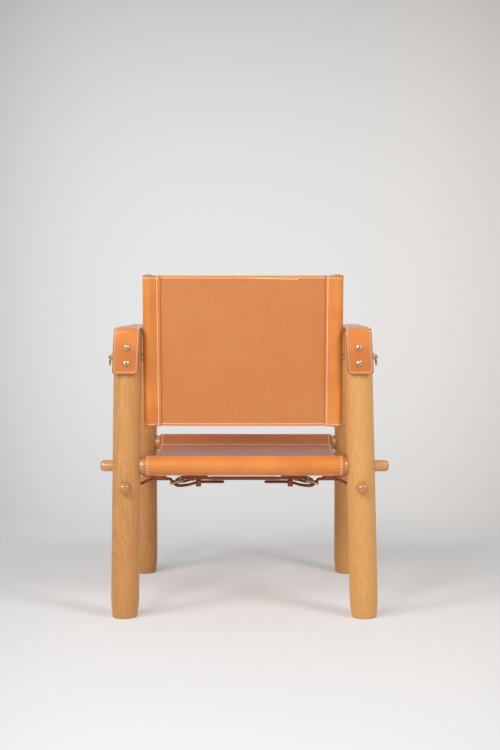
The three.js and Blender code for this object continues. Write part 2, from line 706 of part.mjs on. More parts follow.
function endStrap(side, place) {
  const loop = loopOutlines(RAIL_RADIUS, BELT_THICKNESS, LOOP_SEAM_INSET, SLEEVE_STEPS);
  const seamEnd = LOOP_SEAM_INSET + LOOP_SEAM_LENGTH;
  const run = ribbon(strapRun(), BELT_THICKNESS, BELT_STEPS);
  const tip = run.lower[run.lower.length - 1].clone();
  tip.x -= TAIL_BEVEL;
  const outline = [
    ...loop.outer.slice().reverse(),
    new THREE.Vector2(LOOP_SEAM_INSET, BELT_THICKNESS),
    new THREE.Vector2(seamEnd, BELT_THICKNESS),
    ...run.upper,
    tip,
    ...run.lower.slice(0, -1).filter((point) => point.x < tip.x).reverse(),
    new THREE.Vector2(LOOP_SEAM_INSET, -BELT_THICKNESS),
  ];
  const map = beltMap(side, place);
  const strap = beltPiece(outline, [loop.hole], BELT_WIDTH, place, map);
  const slotFrom = TOE_INSET + BUCKLE_WIRE / 2 + FIT_GAP;
  return cut(strap, [prongSlot(slotFrom, BUCKLE_BAR_INSET - BAR_ROOM, place, map)]);
}

// A slot through the leather for the prong, between two distances inboard
function prongSlot(from, to, place, map) {
  const low = -LOOP_DROP - BELT_THICKNESS;
  const outline = [
    new THREE.Vector2(from, low),
    new THREE.Vector2(to, low),
    new THREE.Vector2(to, STRAP_OVER - FIT_GAP),
    new THREE.Vector2(from, STRAP_OVER - FIT_GAP),
  ];
  return beltPiece(outline, [], PRONG_WIDTH + 2 * PRONG_SLOT_GAP, place, map);
}

// The centre strap's end: the strap runs over the bar, folds round it and returns below, sewn at its end
function centreHalf() {
  const outer = BAR_ROOM + FOLD_THICKNESS;
  const foldUnder = BAR_LEVEL - BAR_ROOM;
  const foldEnd = BUCKLE_BAR_INSET + FOLD_LENGTH;
  const sewn = foldEnd - FOLD_RISE_LENGTH;
  const roundBar = (radius) => (
    arc(BUCKLE_BAR_INSET, BAR_LEVEL, radius, radius, Math.PI / 2, 1.5 * Math.PI, SLEEVE_STEPS / 2)
  );
  const bend = roundBar(outer);
  const shoulder = BUCKLE_BAR_INSET + FOLD_RISE_LENGTH / 2;
  const outline = [
    new THREE.Vector2(shoulder, STRAP_OVER),
    ...bend,
    new THREE.Vector2(shoulder, foldUnder - FOLD_THICKNESS),
    new THREE.Vector2(sewn, STRAP_UNDER - FOLD_THICKNESS),
    new THREE.Vector2(foldEnd, STRAP_UNDER - FOLD_THICKNESS),
    new THREE.Vector2(foldEnd, STRAP_UNDER),
  ];
  const hole = [
    ...roundBar(BAR_ROOM),
    new THREE.Vector2(shoulder, foldUnder),
    new THREE.Vector2(sewn, STRAP_UNDER - FIT_GAP),
  ];
  return { outline, hole };
}

function centreStrap(place) {
  const half = centreHalf();
  const maps = { left: beltMap(SIDES.left, place), right: beltMap(SIDES.right, place) };
  const outline = [...half.outline.map(maps.left), ...half.outline.map(maps.right).reverse()];
  const holes = [half.hole.map(maps.left), half.hole.map(maps.right)];
  const strap = extruded(outline, holes, BELT_WIDTH, SECTION_XZ).translate(0, place, 0);
  const eyeReach = BAR_ROOM + PRONG_EYE_WALL + PRONG_SLOT_GAP;
  const from = BUCKLE_BAR_INSET - BAR_ROOM - FOLD_THICKNESS - FIT_GAP;
  const slots = Object.values(maps).map((map) => prongSlot(from, BUCKLE_BAR_INSET + eyeReach, place, map));
  return cut(strap, slots);
}

// The safe: a tongue of leather on the strap that lies between the buckle and the seat
function safePiece(side, place) {
  const level = STRAP_OVER + FIT_GAP + SAFE_THICKNESS / 2;
  const bend = BUCKLE_BAR_INSET - BAR_ROOM;
  const slope = ribbon([
    new THREE.Vector2(SAFE_TIP_INSET, -SAFE_TIP_DROP),
    new THREE.Vector2(THREE.MathUtils.lerp(SAFE_TIP_INSET, bend, SAFE_SLOPE_SHARE), level - SAFE_THICKNESS),
    new THREE.Vector2(bend, level),
    new THREE.Vector2(SAFE_END_INSET, level),
  ], SAFE_THICKNESS, SLEEVE_STEPS);
  const outline = [...slope.upper, ...slope.lower.slice().reverse()];
  return beltPiece(outline, [], BELT_WIDTH, place, beltMap(side, place));
}

// The buckle frame: a rounded rectangle of wire round both bars, tilted down towards its toe
function buckleFrame(side, place) {
  const wire = BUCKLE_WIRE;
  const halfWidth = BELT_WIDTH / 2 + BUCKLE_SIDE_GAP + wire;
  const bevel = BUCKLE_EDGE_ROUND;
  const ringOf = (inset) => {
    const low = -BUCKLE_LENGTH - wire / 2 + inset;
    const high = wire / 2 - inset;
    const reach = halfWidth - inset;
    const round = Math.max(BUCKLE_CORNER_ROUND - inset, bevel);
    return [
      ...arc(high - round, reach - round, round, round, 0, Math.PI / 2, CORNER_STEPS),
      ...arc(low + round, reach - round, round, round, Math.PI / 2, Math.PI, CORNER_STEPS),
      ...arc(low + round, round - reach, round, round, Math.PI, 1.5 * Math.PI, CORNER_STEPS),
      ...arc(high - round, round - reach, round, round, 1.5 * Math.PI, 2 * Math.PI, CORNER_STEPS),
    ];
  };
  const shape = new THREE.Shape(ringOf(bevel));
  shape.holes.push(new THREE.Path(ringOf(wire - bevel)));
  const frame = new THREE.ExtrudeGeometry(shape, {
    depth: wire - 2 * bevel,
    bevelEnabled: true,
    bevelThickness: bevel,
    bevelSize: bevel,
    bevelSegments: 1,
  });
  frame.translate(0, 0, bevel - wire / 2);
  frame.rotateY(-BUCKLE_TILT);
  return placeAtBar(frame.rotateZ(Math.PI), side, place);
}

function placeAtBar(geometry, side, place) {
  const bar = beltMap(side, place)(new THREE.Vector2(BUCKLE_BAR_INSET, BAR_LEVEL));
  if (side < 0) geometry.rotateZ(Math.PI);
  return geometry.translate(bar.x, place, bar.y);
}

// The prong: an eye round the bar and a flat tongue that reaches just below the toe
function prong(side, place) {
  const inner = BAR_ROOM;
  const outer = inner + PRONG_EYE_WALL;
  const tipUp = TOE_LEVEL - BAR_ROOM - FIT_GAP;
  const tip = TOE_INSET - PRONG_TIP_OVERHANG;
  const under = BAR_LEVEL - outer;
  const roundBar = (radius, from, to) => (
    arc(BUCKLE_BAR_INSET, BAR_LEVEL, radius, radius, from, to, SLEEVE_STEPS)
  );
  const outline = [
    ...roundBar(outer, -Math.PI / 2, Math.PI - PRONG_EYE_OPENING),
    new THREE.Vector2(BUCKLE_BAR_INSET - outer, BAR_LEVEL - inner),
    new THREE.Vector2(tip, tipUp),
    new THREE.Vector2(tip, tipUp - PRONG_THICKNESS),
    new THREE.Vector2(BUCKLE_BAR_INSET - outer, under),
  ];
  const eye = roundBar(inner, 0, 2 * Math.PI).slice(1);
  return beltPiece(outline, [eye], PRONG_WIDTH, place, beltMap(side, place));
}

// The keeper: a band sewn below the strap that holds the tail
function keeper(side, place) {
  const half = BELT_WIDTH / 2 + KEEPER_SIDE_GAP;
  const top = STRAP_UNDER - FIT_GAP;
  const roundedBox = (reach, high, low, round) => [
    ...arc(reach - round, high - round, round, round, 0, Math.PI / 2, CORNER_STEPS),
    ...arc(round - reach, high - round, round, round, Math.PI / 2, Math.PI, CORNER_STEPS),
    ...arc(round - reach, low + round, round, round, Math.PI, 1.5 * Math.PI, CORNER_STEPS),
    ...arc(reach - round, low + round, round, round, 1.5 * Math.PI, 2 * Math.PI, CORNER_STEPS),
  ];
  const wall = KEEPER_THICKNESS;
  const outer = roundedBox(half + wall, top, -KEEPER_DROP, KEEPER_CORNER_ROUND + wall);
  const inner = roundedBox(half, top - wall, wall - KEEPER_DROP, KEEPER_CORNER_ROUND);
  const band = extruded(outer, [inner], KEEPER_LENGTH, SECTION_YZ);
  const middle = beltMap(side, place)(new THREE.Vector2(KEEPER_INSET + KEEPER_LENGTH / 2, 0));
  return band.translate(middle.x, place, middle.y);
}

function addBelts() {
  for (const [endName, end] of Object.entries(ENDS)) {
    const place = end * BELT_PLACE;
    addPiece(`belt_centre_${endName}`, centreStrap(place), BELT_BROWN);
    for (const [sideName, side] of Object.entries(SIDES)) {
      const tag = `${endName}_${sideName}`;
      addPiece(`belt_end_${tag}`, endStrap(side, place), BELT_BROWN);
      addPiece(`belt_safe_${tag}`, safePiece(side, place), BELT_BROWN);
      addPiece(`belt_keeper_${tag}`, keeper(side, place), KEEPER_TAN);
      addPiece(`buckle_frame_${tag}`, buckleFrame(side, place), BRASS);
      addPiece(`buckle_prong_${tag}`, prong(side, place), BRASS);
    }
  }
}

addPosts();
addRails();
addSeat();
addBack();
addPivots();
addArms();
addScrews();
addBelts();

export default chair;
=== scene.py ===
"""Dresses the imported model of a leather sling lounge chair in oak, saddle leather, thread and brass."""

import logging
import math
from dataclasses import dataclass
from enum import Enum
from typing import Callable, Sequence, TypeVar

import bmesh
import bpy
from mathutils import Euler, Matrix, Vector, noise


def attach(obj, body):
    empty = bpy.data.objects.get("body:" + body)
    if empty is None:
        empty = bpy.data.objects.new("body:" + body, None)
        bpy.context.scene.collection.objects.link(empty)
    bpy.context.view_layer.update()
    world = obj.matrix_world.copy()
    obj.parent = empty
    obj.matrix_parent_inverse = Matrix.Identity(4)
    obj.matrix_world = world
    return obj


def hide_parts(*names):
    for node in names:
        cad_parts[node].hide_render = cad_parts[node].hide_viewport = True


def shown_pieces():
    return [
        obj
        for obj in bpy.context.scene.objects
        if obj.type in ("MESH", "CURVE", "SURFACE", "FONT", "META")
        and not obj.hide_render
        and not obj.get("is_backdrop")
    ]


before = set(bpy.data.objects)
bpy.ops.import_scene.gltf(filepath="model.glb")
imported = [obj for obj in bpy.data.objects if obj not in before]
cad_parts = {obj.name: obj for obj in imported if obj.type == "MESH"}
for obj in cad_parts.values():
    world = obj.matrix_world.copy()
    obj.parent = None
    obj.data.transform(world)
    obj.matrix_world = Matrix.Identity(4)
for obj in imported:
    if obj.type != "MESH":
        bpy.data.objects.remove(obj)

LOG = logging.getLogger("sling_chair")

Colour = tuple[float, float, float, float]
Form = bmesh.types.BMesh
Item = TypeVar("Item")
Material = bpy.types.Material
Piece = bpy.types.Object
Place = Callable[[float, float, float], Vector]
Socket = bpy.types.NodeSocket
Spot = tuple[float, float]
Triple = tuple[float, float, float]

TO_X = Matrix.Rotation(math.pi / 2, 4, "Y")
TO_Y = Matrix.Rotation(-math.pi / 2, 4, "X")
PROBE = 0.0006
WHITE: Colour = (1.0, 1.0, 1.0, 1.0)


class Named(Enum):
    """A choice whose name stands in node names."""

    @property
    def word(self) -> str:
        """The choice's word in node names."""
        return self.name.lower()


class Side(Named):
    """The sitter's left or right, as the sign of X."""

    LEFT = 1
    RIGHT = -1


class End(Named):
    """The rear or front of the chair, as the sign of Y."""

    REAR = 1
    FRONT = -1


class Grain(Enum):
    """The axis that a piece of oak's grain follows."""

    ACROSS = 0
    DEEP = 1
    UPRIGHT = 2


def srgb(red: int, green: int, blue: int) -> Colour:
    """Turns a colour as seen into the shader's linear one.

    Args:
        red: Red from 0 to 255.
        green: Green from 0 to 255.
        blue: Blue from 0 to 255.

    Returns:
        The linear colour with full alpha.
    """
    parts = [channel / 255 for channel in (red, green, blue)]
    linear = [part / 12.92 if part <= 0.04045 else ((part + 0.055) / 1.055) ** 2.4 for part in parts]
    return (linear[0], linear[1], linear[2], 1.0)


def configured(item: Item, **settings: object) -> Item:
    """Sets properties of a new node, modifier, camera or lamp.

    Args:
        item: What is set.
        settings: Its properties' values.

    Returns:
        The same item.
    """
    for key, value in settings.items():
        setattr(item, key, value)
    return item


class Graph:
    """One material's node tree, built from the inside out by short calls."""

    def __init__(self, name: str) -> None:
        """Starts an empty tree that knows the object's own coordinates.

        Args:
            name: The material's name.
        """
        self.material = bpy.data.materials.new(name)
        self.material.use_nodes = True
        self.tree = self.material.node_tree
        self.tree.nodes.clear()
        self.source = self.node("ShaderNodeTexCoord")

    def node(self, kind: str, **settings: object) -> bpy.types.Node:
        """Adds a node of a kind and sets its properties."""
        return configured(self.tree.nodes.new(kind), **settings)

    def feed(self, socket: Socket, value: object) -> None:
        """Links a socket to another, or sets its plain value.

        Args:
            socket: The input.
            value: A socket or a plain value.
        """
        if isinstance(value, bpy.types.NodeSocket):
            self.tree.links.new(value, socket)
        else:
            socket.default_value = value

    def fill(self, made: bpy.types.Node, **values: object) -> bpy.types.Node:
        """Feeds a node's inputs by name.

        Args:
            made: The node.
            values: Sockets or plain values, with spaces in the inputs' names as underscores.

        Returns:
            The same node.
        """
        for key, value in values.items():
            self.feed(made.inputs[key.replace("_", " ")], value)
        return made

    def placed(self, scale: Triple = (1, 1, 1), turn: Triple = (0, 0, 0), move: Triple = (0, 0, 0)) -> Socket:
        """Object coordinates, scaled, turned by radians and moved by metres."""
        here, made = self.source.outputs["Object"], self.node("ShaderNodeMapping")
        return self.fill(made, Vector=here, Scale=scale, Rotation=turn, Location=move).outputs["Vector"]

    def parts(self, vector: Socket) -> Sequence[Socket]:
        """The three numbers of a vector."""
        return self.fill(self.node("ShaderNodeSeparateXYZ"), Vector=vector).outputs

    def on_cut(self) -> Sequence[Socket]:
        """The places along and across a leather cut, read from its own layout."""
        return self.parts(self.node("ShaderNodeUVMap", uv_map="cut").outputs["UV"])

    def noise(
        self, vector: Socket, scale: float, detail: float = 3, roughness: float = 0.5, distortion: float = 0
    ) -> Socket:
        """A noise from 0 to 1.

        Args:
            vector: Where the noise is read.
            scale: Features per metre.
            detail: Number of finer layers.
            roughness: Strength of the finer layers.
            distortion: How much the noise is warped.

        Returns:
            The value socket.
        """
        made = self.node("ShaderNodeTexNoise")
        self.fill(made, Vector=vector, Scale=scale, Detail=detail, Roughness=roughness, Distortion=distortion)
        return made.outputs["Fac"]

    def cells(self, vector: Socket, scale: float) -> Socket:
        """Distances in a soft pattern of so many cells per metre."""
        made = self.node("ShaderNodeTexVoronoi", feature="SMOOTH_F1")
        return self.fill(made, Vector=vector, Scale=scale).outputs["Distance"]

    def span(self, value: Socket, low: float, high: float, to_low: float = 0, to_high: float = 1) -> Socket:
        """Maps a value's range onto another and clamps it.

        Args:
            value: The value.
            low: Value that gives to_low.
            high: Value that gives to_high.
            to_low: Result at low.
            to_high: Result at high.

        Returns:
            The mapped value.
        """
        made = self.node("ShaderNodeMapRange", interpolation_type="SMOOTHSTEP")
        self.fill(made, Value=value, From_Min=low, From_Max=high, To_Min=to_low, To_Max=to_high)
        return made.outputs["Result"]

    def sum(self, operation: str, first: object, second: object = 0) -> Socket:
        """One step of arithmetic.

        Args:
            operation: The Math node's operation.
            first: A number or a socket.
            second: A number or a socket, where the operation takes two.

        Returns:
            The result.
        """
        made = self.node("ShaderNodeMath", operation=operation)
        self.feed(made.inputs[0], first)
        self.feed(made.inputs[1], second)
        return made.outputs[0]

    def blend(self, share: object, first: object, second: object) -> Socket:
        """Mixes two colours.

        Args:
            share: How much of the second, as a number or a socket.
            first: A colour or a socket.
            second: A colour or a socket.

        Returns:
            The colour.
        """
        made = self.node("ShaderNodeMix", data_type="RGBA")
        for index, value in ((0, share), (6, first), (7, second)):
            self.feed(made.inputs[index], value)
        return made.outputs[2]

    def bump(self, height: Socket, depth: float, under: Socket | None = None) -> Socket:
        """Turns a height into a shading normal.

        Args:
            height: Height from 0 to 1.
            depth: The relief in metres.
            under: A normal to add to.

        Returns:
            The normal.
        """
        made = self.node("ShaderNodeBump")
        self.fill(made, Strength=1.0, Distance=depth, Height=height)
        if under is not None:
            self.fill(made, Normal=under)
        return made.outputs["Normal"]

    def shade(self, colour: object, roughness: object, normal: Socket, **numbers: float) -> Material:
        """Closes the tree with one surface.

        Args:
            colour: Base colour.
            roughness: Roughness.
            normal: Shading normal.
            numbers: Other sockets' plain values, with spaces in their names as underscores.

        Returns:
            The finished material.
        """
        surface = self.node("ShaderNodeBsdfPrincipled")
        self.fill(surface, Base_Color=colour, Roughness=roughness, Normal=normal, **numbers)
        return self.closed(surface.outputs["BSDF"])

    def closed(self, surface: Socket) -> Material:
        """Ends the tree with its surface."""
        self.fill(self.node("ShaderNodeOutputMaterial"), Surface=surface)
        return self.material


@dataclass(frozen=True)
class Oak:
    """Oiled oak with open pores and fine growth lines."""

    light: Colour = srgb(217, 160, 95)
    middle: Colour = srgb(202, 141, 77)
    dark: Colour = srgb(162, 104, 54)
    # The tone that a board is painted paler with, as painted light.
    palest: Colour = srgb(248, 190, 106)
    pore: Colour = srgb(122, 74, 38)
    end: Colour = srgb(178, 102, 42)
    ring: float = 0.0034

    def material(
        self, name: str, grain: Grain, heart: Spot, lean: float, pale: float = 0, polish: float = 0.18
    ) -> Material:
        """Builds the finish for one piece cut beside the heart of its own log.

        Args:
            name: The name of the piece's node.
            grain: The axis that the grain follows.
            heart: Where the log's heart runs, on the two axes across the grain.
            lean: How far the heart leans from the grain's axis, in radians.
            pale: How much paler than the others this board is painted, as painted light, from 0 to 1.
            polish: Weight of the polish.

        Returns:
            The material.
        """
        g = Graph(f"oak_{name}")
        along = grain.value
        first, second = (axis for axis in range(3) if axis != along)
        start = Vector((0.0, 0.0, 0.0))
        start[first], start[second] = heart
        turn = [0.0, 0.0, 0.0]
        turn[first], turn[second] = lean, -0.7 * lean
        middle = start.copy()
        middle[along] = 0.3 if grain is Grain.UPRIGHT else 0.0
        drift = tuple(-(Euler(turn).to_matrix() @ middle))

        def drawn_out(rate: float) -> Socket:
            """The piece's own coordinates, with patterns drawn out along the grain."""
            factors = tuple(rate if axis == along else 1.0 for axis in range(3))
            return g.placed(factors, move=tuple(start * 40))

        centred = g.parts(g.placed(turn=tuple(turn), move=drift))
        squares = [g.sum("POWER", g.sum("ABSOLUTE", centred[axis]), 2) for axis in (first, second)]
        wander = g.noise(drawn_out(0.16), 22, 3, 0.5)
        reach = g.sum("ADD", g.sum("SQRT", g.sum("ADD", *squares)), g.sum("MULTIPLY", wander, 0.026))
        ring = g.sum("FRACT", g.sum("DIVIDE", reach, self.ring))
        early = g.sum("MULTIPLY", g.span(ring, 0.0, 0.10), g.span(ring, 0.62, 0.30))
        pores = g.noise(drawn_out(0.045), 1500, 2, 0.6)
        hairs = g.noise(drawn_out(0.02), 520, 3, 0.6)
        clouds = g.noise(drawn_out(0.4), 9, 2)
        flecks = g.noise(drawn_out(0.3), 430, 1, 0.4)
        pore = g.sum("MULTIPLY", g.span(pores, 0.56, 0.68), g.sum("ADD", g.sum("MULTIPLY", early, 0.8), 0.2))
        facing = g.parts(g.source.outputs["Normal"])[along]
        tone = g.blend(g.span(ring, 0.25, 1.0), self.light, self.middle)
        for share, other in (
            (g.sum("MULTIPLY", early, 0.36), self.dark),
            (g.span(hairs, 0.48, 0.74, 0, 0.45), self.dark),
            (g.span(clouds, 0.35, 0.7, 0, 0.2), self.dark),
            (g.sum("MULTIPLY", pore, 0.6), self.pore),
            (g.span(flecks, 0.66, 0.74, 0, 0.3), self.light),
            (pale, self.palest),
            (g.span(g.sum("ABSOLUTE", facing), 0.2, 1.0, 0, 0.7), self.end),
        ):
            tone = g.blend(share, tone, other)
        rough = g.span(hairs, 0.3, 0.8, 0.40, 0.54)
        relief = g.bump(g.sum("SUBTRACT", hairs, g.sum("MULTIPLY", pore, 0.8)), 0.00016)
        glaze = {"Coat_Weight": polish, "Coat_Roughness": 0.12, "Coat_IOR": 1.45 + 0.3 * polish}
        return g.shade(tone, rough, relief, Specular_IOR_Level=0.34, **glaze)


@dataclass(frozen=True)
class Wear:
    """A stretch along a cut darkened with painted shade."""

    start: float
    stop: float
    depth: float
    soft: float

    def share(self, g: Graph) -> Socket:
        """How far the leather is darkened with painted shade at a place along its cut.

        Args:
            g: The tree.

        Returns:
            From 0 to the stretch's depth.
        """
        blotch = g.sum("MULTIPLY", g.noise(g.placed(), 34, 3, 0.6), self.soft)
        place = g.sum("ADD", g.on_cut()[0], g.sum("SUBTRACT", blotch, self.soft / 2))
        begun = g.span(place, self.start - self.soft, self.start)
        ended = g.span(place, self.stop + self.soft, self.stop)
        return g.sum("MULTIPLY", g.sum("MULTIPLY", begun, ended), self.depth)


@dataclass(frozen=True)
class SaddleLeather:
    """Vegetable-tanned leather with a glazed grain side, a matt flesh side and burnished edges."""

    grain: Colour
    deep: Colour
    flesh: Colour
    rim: Colour
    # The colour laid over stretches of the grain side as painted shade.
    patina: Colour = srgb(148, 60, 14)
    scuff: Colour = srgb(246, 196, 152)
    gloss: float = 0.34
    coat: float = 0.20
    band: float = 0.0
    # How dark the stitch grooves are: the darker pressed leather and painted shade in the grooves and holes.
    pressed: float = 0.72

    def grain_side(self, name: str, width: float, rows: Sequence[float], worn: Sequence[Wear]) -> Material:
        """The outside of one cut, pressed in along its rows of stitches.

        Args:
            name: The cut's name.
            width: The cut's width in metres.
            rows: Distances of its rows from its side edges in metres.
            worn: Stretches darkened with painted shade.

        Returns:
            The material.
        """
        g = Graph(f"{name}_grain")
        here = g.placed()
        clouds = g.noise(here, 11, 3, 0.55)
        mottle = g.noise(here, 170, 3, 0.6)
        creases = g.noise(g.placed((1, 1, 0.6)), 95, 3, 0.6, 1.2)
        tone = g.blend(g.span(clouds, 0.3, 0.72, 0, 0.5), self.grain, self.deep)
        tone = g.blend(g.span(mottle, 0.45, 0.75, 0, 0.22), tone, self.deep)
        # Painted shade over the given stretches of the grain side.
        for stretch in worn:
            tone = g.blend(stretch.share(g), tone, self.patina)
        edge = self.from_side(g, width)
        tone = g.blend(g.span(edge, 0.0, 0.0022, 0.45, 0), tone, self.rim)
        groove = self.grooves(g, edge, rows)
        # Darker stitch grooves: the darker pressed leather and painted shade in the grooves and holes.
        tone = g.blend(g.sum("MULTIPLY", groove, self.pressed), tone, self.rim)
        rough = g.span(mottle, 0.3, 0.75, self.gloss - 0.05, self.gloss + 0.09)
        relief = g.bump(g.cells(here, 1150), 0.00010)
        relief = g.bump(g.noise(here, 2600, 2, 0.6), 0.00004, relief)
        relief = g.bump(creases, 0.00022, relief)
        relief = g.bump(g.sum("SUBTRACT", 1.0, groove), 0.00045, relief)
        return g.shade(tone, rough, relief, Specular_IOR_Level=0.40, Coat_Weight=self.coat, Coat_Roughness=0.32)

    def flesh_side(self, name: str, width: float, rows: Sequence[float]) -> Material:
        """The matt inside of one cut.

        Args:
            name: The cut's name.
            width: The cut's width in metres.
            rows: Distances of its rows from its side edges in metres.

        Returns:
            The material.
        """
        g = Graph(f"{name}_flesh")
        here = g.placed()
        clouds = g.noise(here, 8, 3, 0.6)
        mottle = g.noise(here, 60, 4, 0.65)
        fibres = g.noise(g.placed((1, 1, 0.35)), 900, 3, 0.7, 0.5)
        scuffs = g.noise(g.placed((1, 1, 1.6), move=(0.31, 0.0, 0.12)), 52, 2, 0.4)
        tone = g.blend(g.span(clouds, 0.3, 0.72, 0, 0.30), self.flesh, self.deep)
        tone = g.blend(g.span(mottle, 0.42, 0.75, 0, 0.07), tone, self.rim)
        tone = g.blend(g.span(scuffs, 0.75, 0.80, 0, 0.15), tone, self.scuff)
        edge = self.from_side(g, width)
        if self.band > 0:
            tone = g.blend(g.span(edge, self.band - 0.0006, self.band + 0.0006, 1, 0), tone, self.grain)
        groove = self.grooves(g, edge, rows)
        # Slightly darker stitch grooves: pressed leather and painted shade.
        tone = g.blend(g.sum("MULTIPLY", groove, 0.3), tone, self.rim)
        rough = g.span(mottle, 0.3, 0.75, 0.72, 0.88)
        relief = g.bump(mottle, 0.00020, g.bump(fibres, 0.00010))
        relief = g.bump(g.sum("SUBTRACT", 1.0, groove), 0.00035, relief)
        return g.shade(tone, rough, relief, Specular_IOR_Level=0.28)

    def cut_edge(self, name: str) -> Material:
        """The burnished edge, with the leather's layers faintly showing.

        Args:
            name: The cut's name.

        Returns:
            The material.
        """
        g = Graph(f"{name}_edge")
        layers = g.noise(g.placed(), 900, 3, 0.7)
        tone = g.blend(g.span(layers, 0.35, 0.7, 0, 0.5), self.rim, self.grain)
        return g.shade(tone, 0.5, g.bump(layers, 0.00012), Specular_IOR_Level=0.4)

    @staticmethod
    def from_side(g: Graph, width: float) -> Socket:
        """The distance in metres from the nearer side edge of a cut of that width."""
        return g.sum("SUBTRACT", width / 2, g.sum("ABSOLUTE", g.on_cut()[1]))

    @staticmethod
    def grooves(g: Graph, edge: Socket, rows: Sequence[float]) -> Socket:
        """How deep the leather is pressed at a distance from its edge.

        Args:
            g: The tree.
            edge: Distance from the side edge.
            rows: Distances of the rows.

        Returns:
            From 0, flat, to 1, the middle of a groove.
        """
        depth: object = 0.0
        for row in rows:
            off = g.sum("ABSOLUTE", g.sum("SUBTRACT", edge, row))
            depth = g.sum("MAXIMUM", depth, g.span(off, 0.0003, 0.0014, 1, 0))
        return depth


@dataclass(frozen=True)
class Thread:
    """Waxed linen thread."""

    pale: Colour = srgb(250, 242, 226)
    shade_tone: Colour = srgb(226, 206, 176)

    def material(self, name: str) -> Material:
        """The thread's finish, with its twist as fine relief.

        Args:
            name: The material's name.

        Returns:
            The material.
        """
        g = Graph(name)
        twist = g.noise(g.placed(turn=(0.6, 0.5, 0.7)), 1900, 2, 0.5)
        tone = g.blend(g.span(twist, 0.35, 0.7, 0, 0.55), self.pale, self.shade_tone)
        return g.shade(tone, 0.62, g.bump(twist, 0.00012), Specular_IOR_Level=0.3)


@dataclass(frozen=True)
class Brass:
    """Turned brass, handled but bright."""

    bright: Colour = srgb(208, 190, 146)
    dull: Colour = srgb(138, 118, 80)

    def material(self, name: str) -> Material:
        """The brass's finish, with light tarnish and fine scratches.

        Args:
            name: The material's name.

        Returns:
            The material.
        """
        g = Graph(name)
        tarnish = g.noise(g.placed(), 230, 4, 0.6)
        scratches = g.noise(g.placed((1, 1, 8)), 700, 2, 0.5)
        tone = g.blend(g.span(tarnish, 0.42, 0.72, 0, 0.6), self.bright, self.dull)
        rough = g.span(tarnish, 0.3, 0.75, 0.27, 0.46)
        return g.shade(tone, rough, g.bump(scratches, 0.00003), Metallic=1.0)


class Finishes:
    """Every finish of the chair, made once."""

    def __init__(self) -> None:
        """Sets the finishes up."""
        self.oak = Oak()
        self.sling = SaddleLeather(
            grain=srgb(226, 139, 60),
            deep=srgb(198, 108, 44),
            flesh=srgb(202, 129, 77),
            rim=srgb(150, 82, 40),
            band=0.0052,
        )
        self.arm = SaddleLeather(
            grain=srgb(228, 136, 60),
            deep=srgb(194, 102, 40),
            flesh=srgb(200, 126, 76),
            rim=srgb(100, 50, 24),
            gloss=0.32,
            coat=0.42,
            pressed=1.0,
        )
        self.belt = SaddleLeather(
            grain=srgb(190, 106, 72),
            deep=srgb(140, 72, 46),
            flesh=srgb(170, 108, 78),
            rim=srgb(158, 88, 58),
            gloss=0.40,
        )
        self.keeper = SaddleLeather(
            grain=srgb(190, 104, 62),
            deep=srgb(150, 78, 44),
            flesh=srgb(168, 104, 70),
            rim=srgb(110, 56, 32),
        )
        self.thread = Thread().material("waxed_thread")
        self.belt_thread = Thread(srgb(176, 124, 88), srgb(128, 82, 54)).material("belt_thread")
        self.brass = Brass().material("turned_brass")
        # A dark brass laid in the screw slots as painted shade.
        self.tarnish = Brass(srgb(88, 72, 46), srgb(58, 46, 30)).material("tarnished_brass")


def linked(name: str, data: bpy.types.ID) -> Piece:
    """Puts a mesh, a camera or a lamp into the scene.

    Args:
        name: The object's name.
        data: What it holds.

    Returns:
        The object.
    """
    made = bpy.data.objects.new(name, data)
    bpy.context.scene.collection.objects.link(made)
    return made


def to_object(bm: Form, name: str, materials: Sequence[Material]) -> Piece:
    """Makes an object of a bmesh and frees the bmesh.

    Args:
        bm: The mesh on the bench.
        name: The object's name.
        materials: Its material slots.

    Returns:
        The object, at the origin.
    """
    mesh = bpy.data.meshes.new(name)
    bm.to_mesh(mesh)
    bm.free()
    for material in materials:
        mesh.materials.append(material)
    return linked(name, mesh)


def settled(made: Piece, degrees: float) -> Piece:
    """Applies an object's modifiers and shades it smooth up to an angle.

    Args:
        made: The object.
        degrees: Edges sharper than this stay sharp.

    Returns:
        The same object.
    """
    if made.modifiers:
        bpy.context.view_layer.update()
        seen = made.evaluated_get(bpy.context.evaluated_depsgraph_get())
        mesh = bpy.data.meshes.new_from_object(seen)
        old = made.data
        made.modifiers.clear()
        made.data = mesh
        bpy.data.meshes.remove(old)
        mesh.name = made.name
    made.data.polygons.foreach_set("use_smooth", [True] * len(made.data.polygons))
    made.data.set_sharp_from_angle(angle=math.radians(degrees))
    return made


def carved(made: Piece, cutters: Sequence[Form]) -> Piece:
    """Bores cutters out of an object and settles it.

    Args:
        made: The object.
        cutters: Closed forms to take away.

    Returns:
        The same object.
    """
    tools = []
    for index, cutter in enumerate(cutters):
        tool = to_object(cutter, f"{made.name}_cutter_{index}", made.data.materials[:])
        tools.append(tool)
        hole = made.modifiers.new(f"bore_{index}", "BOOLEAN")
        configured(hole, operation="DIFFERENCE", solver="EXACT", object=tool)
    settled(made, 30)
    for tool in tools:
        mesh = tool.data
        bpy.data.objects.remove(tool)
        bpy.data.meshes.remove(mesh)
    return made


def dress(node: str, body: str, slot: str, made: Piece, *added: Piece) -> None:
    """Puts a piece in its node's place and fixes it, with what is added to it, to a body.

    Args:
        node: The node that the piece stands for.
        body: The body that they ride on.
        slot: Their slot's name; not used.
        made: The piece.
        added: Pieces without a node of their own.
    """
    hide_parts(node)
    for piece in (made, *added):
        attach(piece, body)


def arc(centre: Spot, radius: Spot, start: float, end: float, steps: int) -> list[Spot]:
    """Points of an arc.

    Args:
        centre: Its centre.
        radius: Its radii along both axes.
        start: Its first angle in degrees.
        end: Its last angle in degrees.
        steps: Number of stretches.

    Returns:
        The points.
    """
    found = []
    for index in range(steps + 1):
        angle = math.radians(start + (end - start) * index / steps)
        found.append((centre[0] + radius[0] * math.cos(angle), centre[1] + radius[1] * math.sin(angle)))
    return found


